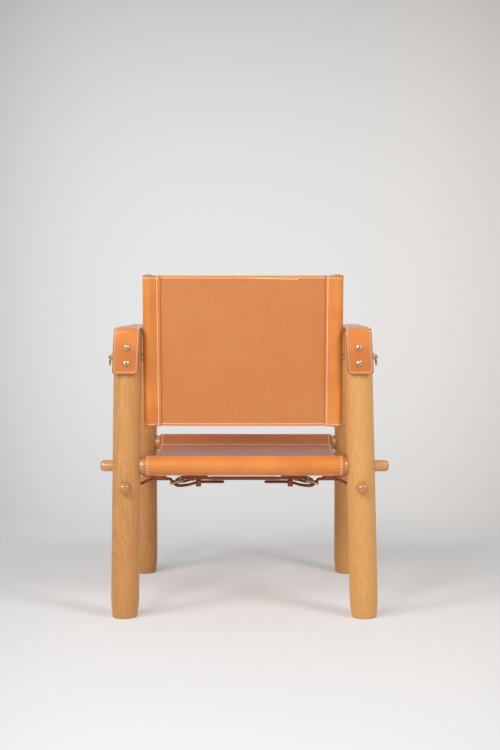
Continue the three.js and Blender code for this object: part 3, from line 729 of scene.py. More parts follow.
def rounded_box(low: Spot, high: Spot, turn: float, steps: int) -> list[Spot]:
    """A rectangle with round corners, drawn round from its high corner.

    Args:
        low: Its low corner.
        high: Its high corner.
        turn: The corners' radius.
        steps: Number of stretches of each corner.

    Returns:
        The points.
    """
    near, far = (low[0] + turn, low[1] + turn), (high[0] - turn, high[1] - turn)
    centres = (far, (near[0], far[1]), near, (far[0], near[1]))
    found = []
    for quarter, centre in enumerate(centres):
        found += arc(centre, (turn, turn), 90 * quarter, 90 * quarter + 90, steps)
    return found


def smooth_line(points: Sequence[Spot], steps: int) -> list[Spot]:
    """Draws a smooth line through points.

    Args:
        points: The points that it passes.
        steps: Stretches between two of them.

    Returns:
        The line's points.
    """
    ends = [Vector(point) for point in points]
    ends = [ends[0] * 2 - ends[1], *ends, ends[-1] * 2 - ends[-2]]
    found = []
    for before, first, second, after in zip(ends, ends[1:], ends[2:], ends[3:]):
        gap = (second - first).length
        lead = (second - before) * (gap / max((first - before).length + gap, 1e-9))
        trail = (after - first) * (gap / max((after - second).length + gap, 1e-9))
        for index in range(steps):
            t = index / steps
            curve = (
                first * (2 * t**3 - 3 * t**2 + 1)
                + lead * (t**3 - 2 * t**2 + t)
                + second * (3 * t**2 - 2 * t**3)
                + trail * (t**3 - t**2)
            )
            found.append((curve.x, curve.y))
    found.append(tuple(points[-1]))
    return found


def mirrored(half: Sequence[Spot], other: Sequence[Spot] | None = None) -> list[Spot]:
    """A lathe's outline of an upper half and another, drawn the same way, or its own mirror image, below."""
    return [(radius, -along) for radius, along in reversed(other or half)] + list(half)


def turned(bm: Form, matrix: Matrix) -> Form:
    """Takes a form to its place."""
    bmesh.ops.transform(bm, matrix=matrix, verts=bm.verts[:])
    return bm


def axes(first: Vector, second: Vector, third: Vector) -> Matrix:
    """What takes X, Y and Z to three vectors."""
    return Matrix((first, second, third)).transposed().to_4x4()


def revolved(bm: Form, steps: int) -> Form:
    """Turns a line about the Z axis into a closed skin.

    Args:
        bm: The line.
        steps: Number of facets round.

    Returns:
        The same form.
    """
    bmesh.ops.spin(
        bm,
        geom=bm.verts[:] + bm.edges[:],
        cent=(0, 0, 0),
        axis=(0, 0, 1),
        dvec=(0, 0, 0),
        angle=2 * math.pi,
        steps=steps,
        use_merge=True,
        use_duplicate=False,
    )
    bmesh.ops.remove_doubles(bm, verts=bm.verts[:], dist=1e-6)
    bmesh.ops.recalc_face_normals(bm, faces=bm.faces[:])
    return bm


def spun(outline: Sequence[Spot], facets: int, turn: Matrix) -> Form:
    """Turns an outline about its axis, as on a lathe.

    Args:
        outline: Points of radius and place along the axis, from axis to axis.
        facets: Number of facets round.
        turn: Takes the lathe's Z axis to the piece's own.

    Returns:
        The closed turned form.
    """
    bm = bmesh.new()
    verts = [bm.verts.new((radius, 0, along)) for radius, along in outline]
    for pair in zip(verts, verts[1:]):
        bm.edges.new(pair)
    return turned(revolved(bm, facets), turn)


def bore(first: float, last: float, radius: float, turn: Matrix, facets: int = 24) -> Form:
    """A cylinder to bore with, between two places along its axis, which a matrix takes from Z."""
    low, high = sorted((first, last))
    return spun([(0.0, low), (radius, low), (radius, high), (0.0, high)], facets, turn)


def shifted(bm: Form, grown: dict[str, list], vec: Triple) -> None:
    """Moves what an extrusion has grown."""
    verts = [item for item in grown["geom"] if isinstance(item, bmesh.types.BMVert)]
    bmesh.ops.translate(bm, vec=vec, verts=verts)


def thickened(bm: Form, vec: Triple, sharp: float, soft: float, segments: int) -> Form:
    """Draws flat faces out into a solid and softens its sharp edges.

    Args:
        bm: The faces.
        vec: How far and which way they are drawn out.
        sharp: Edges that turn by more than this many radians are softened.
        soft: Width of the softened edges.
        segments: Number of facets across a softened edge.

    Returns:
        The closed form.
    """
    shifted(bm, bmesh.ops.extrude_face_region(bm, geom=bm.faces[:]), vec)
    bmesh.ops.recalc_face_normals(bm, faces=bm.faces[:])
    rims = [edge for edge in bm.edges if edge.calc_face_angle(0) > sharp]
    bmesh.ops.bevel(bm, geom=rims, affect="EDGES", offset=soft, segments=segments, profile=0.5, material=-1)
    return bm


def clamped(value: float) -> float:
    """Holds a value between 0 and 1."""
    return min(1.0, max(0.0, value))


def eased(off: float) -> float:
    """Falls smoothly from 1 at 0 to 0 at 1 and stays there."""
    return (1 - off) ** 2 * (1 + 2 * off) if off < 1 else 0.0


def uneven(s: float, w: float, seed: float, rates: Spot, height: float) -> float:
    """How far a hide of its own seed stands off its course, in waves of so many a metre along and across."""
    return noise.noise(Vector((s * rates[0], w * rates[1], seed))) * height


class Course:
    """A line in a plane that a strip of leather follows, measured along its own length."""

    def __init__(self, points: Sequence[Spot], rounds: int = 0) -> None:
        """Rounds the corners of a line of points and measures it.

        Args:
            points: The line's points.
            rounds: How often its corners are cut.
        """
        line = [Vector(point) for point in points]
        for _ in range(rounds):
            cut = [line[0]]
            for first, second in zip(line, line[1:]):
                cut += [first.lerp(second, 0.25), first.lerp(second, 0.75)]
            line = [*cut, line[-1]]
        self.line = line
        self.places = [0.0]
        for first, second in zip(line, line[1:]):
            self.places.append(self.places[-1] + (second - first).length)

    @property
    def length(self) -> float:
        """The line's whole length."""
        return self.places[-1]

    def point(self, s: float) -> Vector:
        """The point at a distance along the line, which runs on straight past its ends.

        Args:
            s: The distance.

        Returns:
            The point.
        """
        low, high = 0, len(self.places) - 2
        while low < high:
            middle = (low + high + 1) // 2
            if self.places[middle] <= s:
                low = middle
            else:
                high = middle - 1
        gap = self.places[low + 1] - self.places[low]
        share = (s - self.places[low]) / gap if gap > 0 else 0.0
        return self.line[low].lerp(self.line[low + 1], share)

    def normal(self, s: float) -> Vector:
        """The unit normal on the left of travel at a distance along the line."""
        run = (self.point(s + PROBE) - self.point(s - PROBE)).normalized()
        return Vector((-run.y, run.x))

    def stations(self, longest: float, turn: float = 0.14) -> list[float]:
        """Distances at which the strip is creased, closer together where the line turns.

        Args:
            longest: The longest stretch between two of them.
            turn: The most that the line turns between two of them, in radians.

        Returns:
            The distances, without the ends.
        """
        found = []
        last, last_normal = 0.0, self.normal(0.0)
        probe = 0.0004
        s = probe
        while s < self.length - probe:
            normal = self.normal(s)
            if s - last >= longest or normal.angle(last_normal) >= turn:
                found.append(s)
                last, last_normal = s, normal
            s += probe
        return found


@dataclass(frozen=True)
class StitchRow:
    """One row of stitches on a cut, through points given along and across it."""

    points: tuple[Spot, ...]
    pitch: float
    fill: float = 0.8
    outside: bool = True
    inside: bool = True


@dataclass
class LeatherCut:
    """A piece cut from flat leather and bent along a course: s runs along the cut and w across it."""

    name: str
    course: Course
    width: float
    thickness: float
    place: Place
    start_corner: float = 0.0
    end_corner: float = 0.0
    longest: float = 0.008
    creases: tuple[float, ...] = (0.003,)
    edge_round: float = 0.0005
    ply: Callable[[float], float] | None = None
    swell: Callable[[float, float], float] | None = None

    def thick(self, s: float) -> float:
        """The leather's thickness at a distance along the cut."""
        return self.thickness * (self.ply(s) if self.ply else 1.0)

    def spot(self, s: float, w: float, side: float, lift: float = 0.0) -> Vector:
        """A point on the bent leather.

        Args:
            s: Distance along the cut.
            w: Distance across it from its middle.
            side: 1 for the outside, -1 for the inside.
            lift: Distance off that face, outwards.

        Returns:
            The point in the chair's frame.
        """
        point, normal = self.course.point(s), self.course.normal(s)
        off = side * (self.thick(s) / 2 + lift)
        if self.swell:
            off += self.swell(s, w)
        bent = point + normal * off
        return self.place(bent.x, bent.y, w)

    def outward(self, s: float, w: float, side: float) -> Vector:
        """A short step off one face of the bent leather."""
        return self.spot(s, w, side, 0.001) - self.spot(s, w, side)

    def flat(self) -> Form:
        """The flat cut with its corners rounded and its creases marked.

        Returns:
            The flat form, with s as X and w as Y.
        """
        bm = bmesh.new()
        half, length = self.width / 2, self.course.length
        corners = [bm.verts.new((x, y, 0)) for x, y in ((0, -half), (length, -half), (length, half), (0, half))]
        bm.faces.new(corners)
        for radius, verts in ((self.start_corner, corners[::3]), (self.end_corner, corners[1:3])):
            if radius > 0:
                bmesh.ops.bevel(
                    bm, geom=verts, affect="VERTICES", offset=radius, segments=7, profile=0.5, material=-1
                )
        for s in self.course.stations(self.longest):
            self.crease(bm, Vector((s, 0, 0)), Vector((1, 0, 0)))
        for w in sorted({side * (half - inset) for inset in self.creases for side in (-1, 1)} | {0.0}):
            self.crease(bm, Vector((0, w, 0)), Vector((0, 1, 0)))
        return bm

    @staticmethod
    def crease(bm: Form, at: Vector, facing: Vector) -> None:
        """Cuts every face of the flat piece along a line."""
        everything = bm.verts[:] + bm.edges[:] + bm.faces[:]
        bmesh.ops.bisect_plane(bm, geom=everything, dist=1e-6, plane_co=at, plane_no=facing)

    def piece(self, finish: SaddleLeather, rows: Sequence[float], worn: Sequence[Wear] = ()) -> Piece:
        """Bends the cut, gives it its thickness and finishes it.

        Args:
            finish: The leather.
            rows: Distances of its stitch rows from its side edges.
            worn: Stretches darkened with painted shade.

        Returns:
            The finished object.
        """
        bm = self.flat()
        layout = bm.loops.layers.uv.new("cut")
        for face in bm.faces:
            for loop in face.loops:
                loop[layout].uv = (loop.vert.co.x, loop.vert.co.y)
        weights = []
        for vert in bm.verts:
            s, w = vert.co.x, vert.co.y
            weights.append(self.thick(s) / self.thickness)
            vert.co = self.spot(s, w, 1)
        bm.normal_update()
        probe = next(iter(bm.faces))
        if probe.normal.dot(self.outward(*probe.loops[0][layout].uv, 1)) < 0:
            bmesh.ops.reverse_faces(bm, faces=bm.faces[:])
        materials = (
            finish.grain_side(self.name, self.width, rows, worn),
            finish.flesh_side(self.name, self.width, rows),
            finish.cut_edge(self.name),
        )
        made = to_object(bm, self.name, materials)
        group = made.vertex_groups.new(name="ply")
        for index, weight in enumerate(weights):
            group.add([index], weight, "REPLACE")
        configured(
            made.modifiers.new("wall", "SOLIDIFY"),
            thickness=self.thickness,
            offset=-1,
            use_even_offset=True,
            vertex_group=group.name,
            thickness_vertex_group=0.0,
            material_offset=1,
            material_offset_rim=2,
        )
        configured(
            made.modifiers.new("ease", "BEVEL"),
            width=self.edge_round,
            segments=2,
            limit_method="ANGLE",
            angle_limit=math.radians(50),
            miter_outer="MITER_ARC",
        )
        return settled(made, 50)

    def sewn(self, name: str, rows: Sequence[StitchRow], thread: Material, radius: float) -> Piece:
        """Sews rows of stitches, each a short rounded length of thread half sunk in the leather.

        Args:
            name: The object's name.
            rows: The rows.
            thread: The thread's finish.
            radius: The thread's radius.

        Returns:
            The stitches as one object.
        """
        bead = bmesh.new()
        bmesh.ops.create_uvsphere(bead, u_segments=8, v_segments=6, radius=1.0)
        corners = [vert.co.copy() for vert in bead.verts]
        faces = [[vert.index for vert in face.verts] for face in bead.faces]
        bead.free()
        bm = bmesh.new()
        for row in rows:
            line = Course(row.points)
            count = max(1, round(line.length / row.pitch))
            pitch = line.length / count
            sides = [1] * row.outside + [-1] * row.inside
            for index in range(count):
                first = line.point((index + 0.5 - row.fill / 2) * pitch)
                last = line.point((index + 0.5 + row.fill / 2) * pitch)
                for side in sides:
                    form = self.stitch(first, last, side, radius)
                    verts = [bm.verts.new(form @ corner) for corner in corners]
                    for face in faces:
                        bm.faces.new([verts[corner] for corner in face])
        return settled(to_object(bm, name, [thread]), 60)

    def stitch(self, first: Vector, last: Vector, side: int, radius: float) -> Matrix:
        """Shapes one stitch between two spots of the cut.

        Args:
            first: Where the thread comes up.
            last: Where it goes down.
            side: 1 for the outside, -1 for the inside.
            radius: The thread's radius.

        Returns:
            What takes a ball of radius 1 to the stitch.
        """
        run = self.spot(last.x, last.y, side) - self.spot(first.x, first.y, side)
        middle = first.lerp(last, 0.5)
        across = run.cross(self.outward(middle.x, middle.y, side).normalized()).normalized()
        normal = across.cross(run).normalized()
        centre = self.spot(middle.x, middle.y, side, radius * 0.15)
        return Matrix.Translation(centre) @ axes(normal * radius, across * radius, run / 2)


@dataclass(frozen=True)
class SettingOut:
    """Where the side frames stand, plumb in front and leaning inwards at the rear, and what pieces share."""

    depth_spacing: float = 0.490
    front_spacing: float = 0.520
    rear_spacing: float = 0.532
    lean_left: float = math.radians(0.9)
    lean_right: float = math.radians(1.55)
    fit_gap: float = 0.0003
    post_radius: float = 0.031
    post_height: float = 0.634
    rail_radius: float = 0.0185
    cross_level: float = 0.337
    side_level: float = 0.292
    pivot_level: float = 0.578
    bolt_radius: float = 0.004
    screw_radius: float = 0.0025
    screw_levels: tuple[float, ...] = (0.5993, 0.5649)

    @property
    def half_depth(self) -> float:
        """The depth of the rear posts' axes from the chair's middle."""
        return self.depth_spacing / 2

    def half_width(self, side: Side, y: float, z: float) -> float:
        """The distance of a side frame's middle from the chair's middle.

        Args:
            side: The frame's side.
            y: The depth.
            z: The height.

        Returns:
            The distance.
        """
        lean = self.lean_left if side is Side.LEFT else self.lean_right
        rear = self.rear_spacing / 2 - math.tan(lean) * z
        share = (y + self.half_depth) / self.depth_spacing
        return self.front_spacing / 2 * (1 - share) + rear * share

    def onto(self, bm: Form, side: Side) -> Form:
        """Moves a form made about x = 0 onto a side frame.

        Args:
            bm: The form.
            side: The frame's side.

        Returns:
            The same form.
        """
        for vert in bm.verts:
            vert.co.x += side.value * self.half_width(side, vert.co.y, vert.co.z)
        return bm


@dataclass
class Part:
    """A group of the chair's pieces, made to the same setting-out and with the same finishes."""

    setting: SettingOut
    finishes: Finishes

    def cast(self, bm: Form, name: str, degrees: float = 40) -> Piece:
        """Makes a brass object of a form, shaded smooth up to an angle."""
        return settled(to_object(bm, name, [self.finishes.brass]), degrees)


@dataclass
class OakFrame(Part):
    """The turned oak posts and rails."""

    top_round: float = 0.004
    foot_radius: float = 0.0275
    foot_taper: float = 0.046
    foot_chamfer: float = 0.0015
    tenon_radius: float = 0.0125
    tenon_ends: tuple[Spot, Spot] = ((0.0085, 0.0042), (0.008, 0.002))
    shoulder_depth: float = 0.0255
    shoulder_dome: float = 0.013
    cross_half: float = 0.3185
    side_half: float = 0.305
    tenon_over: float = 0.005
    bore_over: float = 0.01
    post_heart: Triple = (0.26, 0.030, 0.052)
    cross_heart: Spot = (0.020, 0.040)
    side_heart: Spot = (0.30, 0.035)
    post_lean: float = 0.030
    rail_lean: float = 0.012
    rail_polish: float = 0.8
    # How much paler the right posts are painted, as painted light.
    right_pale: float = 0.3

    def post_outline(self) -> list[Spot]:
        """The post's outline, from its foot to its top.

        Returns:
            The points of radius and height.
        """
        radius, height = self.setting.post_radius, self.setting.post_height
        points = [(0.0, 0.0), (self.foot_radius - self.foot_chamfer, 0.0)]
        steps = 14
        for index in range(steps + 1):
            share = index / steps
            wall = self.foot_radius + (radius - self.foot_radius) * math.sin(share * math.pi / 2)
            points.append((wall, self.foot_chamfer + (self.foot_taper - self.foot_chamfer) * share))
        points += arc((radius - self.top_round, height - self.top_round), (self.top_round,) * 2, 0, 90, 6)
        return [*points, (0.0, height)]

    def rail_half(self, shoulder: float, half: float, grow: float, tip: Spot) -> list[Spot]:
        """Half a rail's outline, from the body's shoulder out to the tenon's rounded end.

        Args:
            shoulder: Place of the shoulder from the middle.
            half: Half the rail's length.
            grow: How much the outline stands proud, for a bore.
            tip: Length of the tenon's rounded end and radius of its flat.

        Returns:
            The points of radius and place.
        """
        body, tenon, place = self.setting.rail_radius + grow, self.tenon_radius + grow, shoulder + grow
        dome = arc((place - self.shoulder_dome, tenon), (self.shoulder_dome, body - tenon), 90, 0, 8)
        length, flat = tip
        end = arc((half - length, flat), (length, tenon - flat), 90, 0, 8)
        return [(y, x) for x, y in dome + end + [(half, 0.0)]]

    def rail_form(self, shoulders: Spot, half: float, grow: float, tip: Spot, turn: Matrix) -> Form:
        """A whole rail with its own shoulder at each end.

        Args:
            shoulders: Places of the shoulders on the positive and the negative side.
            half: Half the rail's length.
            grow: How much it stands proud, for a bore that also runs on past the rail's ends.
            tip: Length of the tenons' rounded ends and radius of their flats.
            turn: Takes the lathe's axis to the rail's.

        Returns:
            The form.
        """
        end = half + (self.tenon_over if grow else 0.0)
        upper, lower = (self.rail_half(shoulder, end, grow, tip) for shoulder in shoulders)
        return spun(mirrored(upper, lower), 48, turn)

    def cross_rail(self, end: End, grow: float = 0.0) -> Form:
        """The front or rear rail, or its bore.

        Args:
            end: Which of them.
            grow: How much it stands proud, for a bore.

        Returns:
            The form.
        """
        y, level = end.value * self.setting.half_depth, self.setting.cross_level
        left, right = (self.setting.half_width(side, y, level) - self.shoulder_depth for side in Side)
        stand = Matrix.Translation((0, y, level)) @ TO_X
        return self.rail_form((left, right), self.cross_half, grow, self.tenon_ends[0], stand)

    def side_rail(self, grow: float = 0.0) -> Form:
        """A side rail about x = 0, or its bore.

        Args:
            grow: How much it stands proud, for a bore.

        Returns:
            The form.
        """
        shoulder = self.setting.half_depth - self.shoulder_depth
        stand = Matrix.Translation((0, 0, self.setting.side_level)) @ TO_Y
        return self.rail_form((shoulder, shoulder), self.side_half, grow, self.tenon_ends[1], stand)

    def bores(self, end: End, side: Side) -> list[Form]:
        """What is bored out of one post.

        Args:
            end: The post's end.
            side: The post's side.

        Returns:
            The cutters.
        """
        setting, gap = self.setting, self.setting.fit_gap
        y = end.value * setting.half_depth
        past = setting.post_radius + self.bore_over
        cutters = [setting.onto(self.side_rail(gap), side), self.cross_rail(end, gap)]
        for level in setting.screw_levels:
            stand = Matrix.Translation((0, 0, level)) @ TO_Y
            hole = bore(y, y + end.value * past, setting.screw_radius + gap, stand, 20)
            cutters.append(setting.onto(hole, side))
        if end is End.REAR:
            x = side.value * setting.half_width(side, y, setting.pivot_level)
            stand = Matrix.Translation((0, y, setting.pivot_level)) @ TO_X
            cutters.append(bore(x - past, x + past, setting.bolt_radius + gap, stand))
        return cutters

    def build(self) -> None:
        """Turns, bores and places every post and rail."""
        oak, setting = self.finishes.oak, self.setting
        for end in End:
            y = end.value * setting.half_depth
            for side in Side:
                node = f"post_{end.word}_{side.word}"
                form = spun(self.post_outline(), 72, Matrix.Translation((0, y, 0)))
                out, apart, deep = self.post_heart
                heart = (side.value * out - apart * end.value, y - deep)
                pale = self.right_pale if side is Side.RIGHT else 0.0
                wood = oak.material(node, Grain.UPRIGHT, heart, self.post_lean * side.value, pale)
                self.keep(setting.onto(form, side), node, wood, self.bores(end, side))
            node = f"rail_{end.word}"
            heart = (y - self.cross_heart[0], setting.cross_level - self.cross_heart[1])
            wood = oak.material(node, Grain.ACROSS, heart, self.rail_lean, polish=self.rail_polish)
            self.keep(self.cross_rail(end), node, wood)
        for side in Side:
            node = f"side_rail_{side.word}"
            heart = (side.value * self.side_heart[0], setting.side_level - self.side_heart[1])
            wood = oak.material(node, Grain.DEEP, heart, self.rail_lean, polish=self.rail_polish)
            self.keep(setting.onto(self.side_rail(), side), node, wood)

    def keep(self, form: Form, node: str, wood: Material, cutters: Sequence[Form] = ()) -> None:
        """Bores a turned form and fixes it to the frame in place of its node."""
        dress(node, "frame", "oak", carved(to_object(form, f"turned_{node}", [wood]), cutters))


@dataclass(frozen=True)
class Sleeve:
    """Leather that wraps a rod and is sewn to itself at a distance from the rod's axis."""

    rod: float
    leather: float
    gap: float
    seam: float
    flap: float

    @property
    def ply(self) -> float:
        """Half the leather's thickness."""
        return self.leather / 2

    @property
    def radius(self) -> float:
        """The radius of the leather's middle line round the rod."""
        return self.rod + self.gap + self.ply

    @property
    def reach(self) -> float:
        """The distance of the seam's place on the middle line from the rod's axis."""
        return math.hypot(self.seam, self.ply)

    @property
    def wrap(self) -> float:
        """Half the angle that the leather wraps, in radians."""
        return math.pi - math.atan2(self.ply, self.seam) - math.acos(self.radius / self.reach)

    @property
    def run(self) -> float:
        """The length along the cut from its end to where the seam comes through the panel."""
        straight = 2 * math.sqrt(self.reach**2 - self.radius**2)
        return self.flap - self.seam + straight + 2 * self.radius * self.wrap


def sling_course(half_span: float, sleeve: Sleeve, sag: float, fall: float = 0.0) -> Course:
    """The middle line of a sling: flap, sleeve, panel, sleeve, flap.

    Args:
        half_span: Half the distance between the rods' axes.
        sleeve: The sleeve round each rod.
        sag: How far the panel's middle lies towards the flaps' side.
        fall: How far the seams lie towards the flaps' side.

    Returns:
        The line along the span and towards the flaps' side.
    """
    ply, seam, wrap = sleeve.ply, sleeve.seam, math.degrees(sleeve.wrap)
    hang = -math.asin(fall / seam)
    seam_place = half_span - seam * math.cos(hang)

    def dip(place: float) -> float:
        """How far the panel hangs at a place along the span."""
        return fall + (sag - fall) * (1 - (place / seam_place) ** 2)

    def hung(x: float, y: float) -> Spot:
        """Turns a point about the rod so that the sleeve falls."""
        cos, sin = math.cos(hang), math.sin(hang)
        return half_span + x * cos - y * sin, x * sin + y * cos

    round_rod = arc((0, 0), (sleeve.radius,) * 2, wrap, -wrap, 24)
    half = [hung(x, y) for x, y in ((-sleeve.flap, ply), (-seam, ply), *round_rod, (-seam, -ply))]
    panel = [(place, dip(place) - ply) for place in (seam_place * (1 - step / 12) for step in range(1, 24))]
    return Course(half + panel + [(-x, y) for x, y in reversed(half)], 1)


@dataclass
class SeatSling(Part):
    """The seat: one panel with a sleeve round each cross rail."""

    width: float = 0.438
    leather: float = 0.003
    seam: float = 0.038
    flap: float = 0.050
    sag: float = 0.012
    fall: float = 0.0036
    side_row: float = 0.0062
    flap_row: float = 0.006
    pitch: float = 0.0062
    thread: float = 0.0009
    # Painted shade over the seat: how far it reaches past the inner seams, how dark it is and how soft its ends
    # are.
    worn_past: Spot = (0.012, 0.045)
    worn_depth: float = 0.58
    worn_soft: float = 0.014
    creases: tuple[float, ...] = (0.003, 0.009, 0.03, 0.08, 0.14)

    def place(self, a: float, b: float, w: float) -> Vector:
        """Takes the section to the chair: a along the depth, b downwards, w across."""
        return Vector((w, a, self.setting.cross_level - b))

    def swell(self, s: float, w: float) -> float:
        """The hide's slight unevenness, most at its side edges."""
        edge = abs(w) / (self.width / 2)
        return uneven(s, w, 3.1, (7, 9), 0.0007) * (0.3 + 0.7 * edge)

    def build(self) -> None:
        """Cuts, bends and sews the seat."""
        sleeve = Sleeve(self.setting.rail_radius, self.leather, self.setting.fit_gap, self.seam, self.flap)
        course = sling_course(self.setting.half_depth, sleeve, self.sag, self.fall)
        cut = LeatherCut(
            "seat_leather", course, self.width, self.leather, self.place, creases=self.creases, swell=self.swell
        )
        start, stop = self.flap_row, course.length - self.flap_row
        inner = sleeve.run + self.flap - self.seam - self.flap_row
        # Painted shade over the seat between its sleeves, reaching a little past their inner seams.
        front, rear = self.worn_past
        seat_shade = Wear(inner - front, course.length - inner + rear, self.worn_depth, self.worn_soft)
        seat = cut.piece(self.finishes.sling, (self.side_row,), (seat_shade,))
        edge = self.width / 2 - self.side_row
        rows = [StitchRow(((start, w), (stop, w)), self.pitch) for w in (-edge, edge)]
        for s in (start, stop, inner, course.length - inner):
            rows.append(StitchRow(((s, -edge), (s, edge)), self.pitch, inside=False))
        thread = cut.sewn("seat_stitching", rows, self.finishes.thread, self.thread)
        dress("seat_sling", "frame", "sling_leather", seat, thread)


@dataclass
class BackSling(Part):
    """The back: a panel sleeved on two turned stiles, tilted about its pivots."""

    width: float = 0.439695
    centre: float = 0.0033312
    height: float = 0.333
    rise: float = 0.012
    tilt: float = math.radians(5)
    leather: float = 0.003
    stile_radius: float = 0.010
    stile_overhang: float = 0.002
    stile_round: float = 0.004
    stile_heart: Spot = (0.23, 0.22)
    stile_lean: float = 0.02
    insert_radius: float = 0.006
    insert_face: float = 0.006
    insert_length: float = 0.014
    seam: float = 0.0203
    flap: float = 0.0253
    sag: float = 0.003
    hem_row: float = 0.0052
    hem_inset: float = 0.002
    brink_row: float = 0.0006
    stray: Triple = (0.53, 0.72, 0.0034)
    flap_rows: tuple[Spot, Spot] = ((0.0062, 0.0076), (0.0042, 0.0052))
    pitch: float = 0.0058
    thread: float = 0.00095
    creases: tuple[float, ...] = (0.003, 0.009, 0.03, 0.07, 0.12)

    @property
    def stile_place(self) -> float:
        """The distance of a stile's axis from the back's middle."""
        return self.width / 2 - self.stile_radius - self.setting.fit_gap - self.leather

    @property
    def tilted(self) -> Matrix:
        """Takes what is drawn upright about the pivot axis onto the tilted back."""
        pivot = (self.centre, self.setting.half_depth, self.setting.pivot_level)
        return Matrix.Translation(pivot) @ Matrix.Rotation(-self.tilt, 4, "X")

    def place(self, a: float, b: float, w: float) -> Vector:
        """Takes the section to the chair: a across, b to the rear, w up the back."""
        return self.tilted @ Vector((a, b, w + self.rise))

    def swell(self, s: float, w: float) -> float:
        """The hide's slight unevenness, most at its free edges."""
        edge = abs(w) / (self.height / 2)
        return uneven(s, w, 7.7, (8, 8), 0.0008) * (0.25 + 0.75 * edge**2)

    def build(self) -> None:
        """Cuts, bends and sews the panel and turns the stiles."""
        sleeve = Sleeve(self.stile_radius, self.leather, self.setting.fit_gap, self.seam, self.flap)
        course = sling_course(self.stile_place, sleeve, self.sag)
        cut = LeatherCut(
            "back_leather", course, self.height, self.leather, self.place, creases=self.creases, swell=self.swell
        )
        panel = carved(cut.piece(self.finishes.sling, (self.hem_row,)), self.bolt_ways())
        rows = self.rows(course.length, sleeve.run)
        thread = cut.sewn("back_stitching", rows, self.finishes.thread, self.thread)
        dress("back_sling", "back", "sling_leather", panel, thread)
        for side in Side:
            self.stile(side)

    def rows(self, length: float, seam: float) -> list[StitchRow]:
        """The rows of stitches: both hems, a row that strays from one, both flaps' ends and both seams.

        Args:
            length: The cut's length.
            seam: Place along it where a flap's seam comes through the panel.

        Returns:
            The rows.
        """
        hem, brink = self.height / 2 - self.hem_row, self.height / 2 - self.brink_row
        ends = (self.hem_inset, length - self.hem_inset)
        rows = [StitchRow(tuple((s, w) for s in ends), self.pitch) for w in (hem, -hem)]
        start, stop, drop = self.stray
        rows.append(StitchRow(((length * start, hem), (length * stop, hem - drop)), self.pitch, outside=False))
        near, far = self.flap_rows
        for start, stop, reach in (
            (*near, brink),
            (length - far[0], length - far[1], brink),
            (seam, seam, hem),
            (length - seam, length - seam, hem),
        ):
            rows.append(StitchRow(((start, -reach), (stop, reach)), self.pitch, inside=False))
        return rows

    def bolt_ways(self) -> list[Form]:
        """The holes in the sleeves' outer walls for the pivot bolts."""
        wall, ends = self.setting.bolt_radius + self.setting.fit_gap, (self.stile_place, self.width * 0.6)
        return [bore(*(side.value * end for end in ends), wall, self.tilted @ TO_X) for side in Side]

    def stile(self, side: Side) -> None:
        """Turns one stile, bored for its insert.

        Args:
            side: The stile's side.
        """
        gap = self.setting.fit_gap
        half = self.height / 2 + self.stile_overhang
        edge = self.stile_radius - self.stile_round
        top = arc((edge, half - self.stile_round), (self.stile_round,) * 2, 0, 90, 5) + [(0.0, half)]
        stand = Matrix.Translation((side.value * self.stile_place, 0, self.rise))
        node = f"back_stile_{side.word}"
        heart = (side.value * self.stile_heart[0], self.stile_heart[1])
        wood = self.finishes.oak.material(node, Grain.UPRIGHT, heart, self.stile_lean)
        made = to_object(spun(mirrored(top), 40, self.tilted @ stand), f"turned_{node}", [wood])
        inner = side.value * (self.stile_place + self.insert_face - self.insert_length - gap)
        outer = side.value * (self.stile_place + self.stile_radius + 0.005)
        dress(node, "back", "oak", carved(made, [bore(inner, outer, self.insert_radius + gap, self.tilted @ TO_X)]))


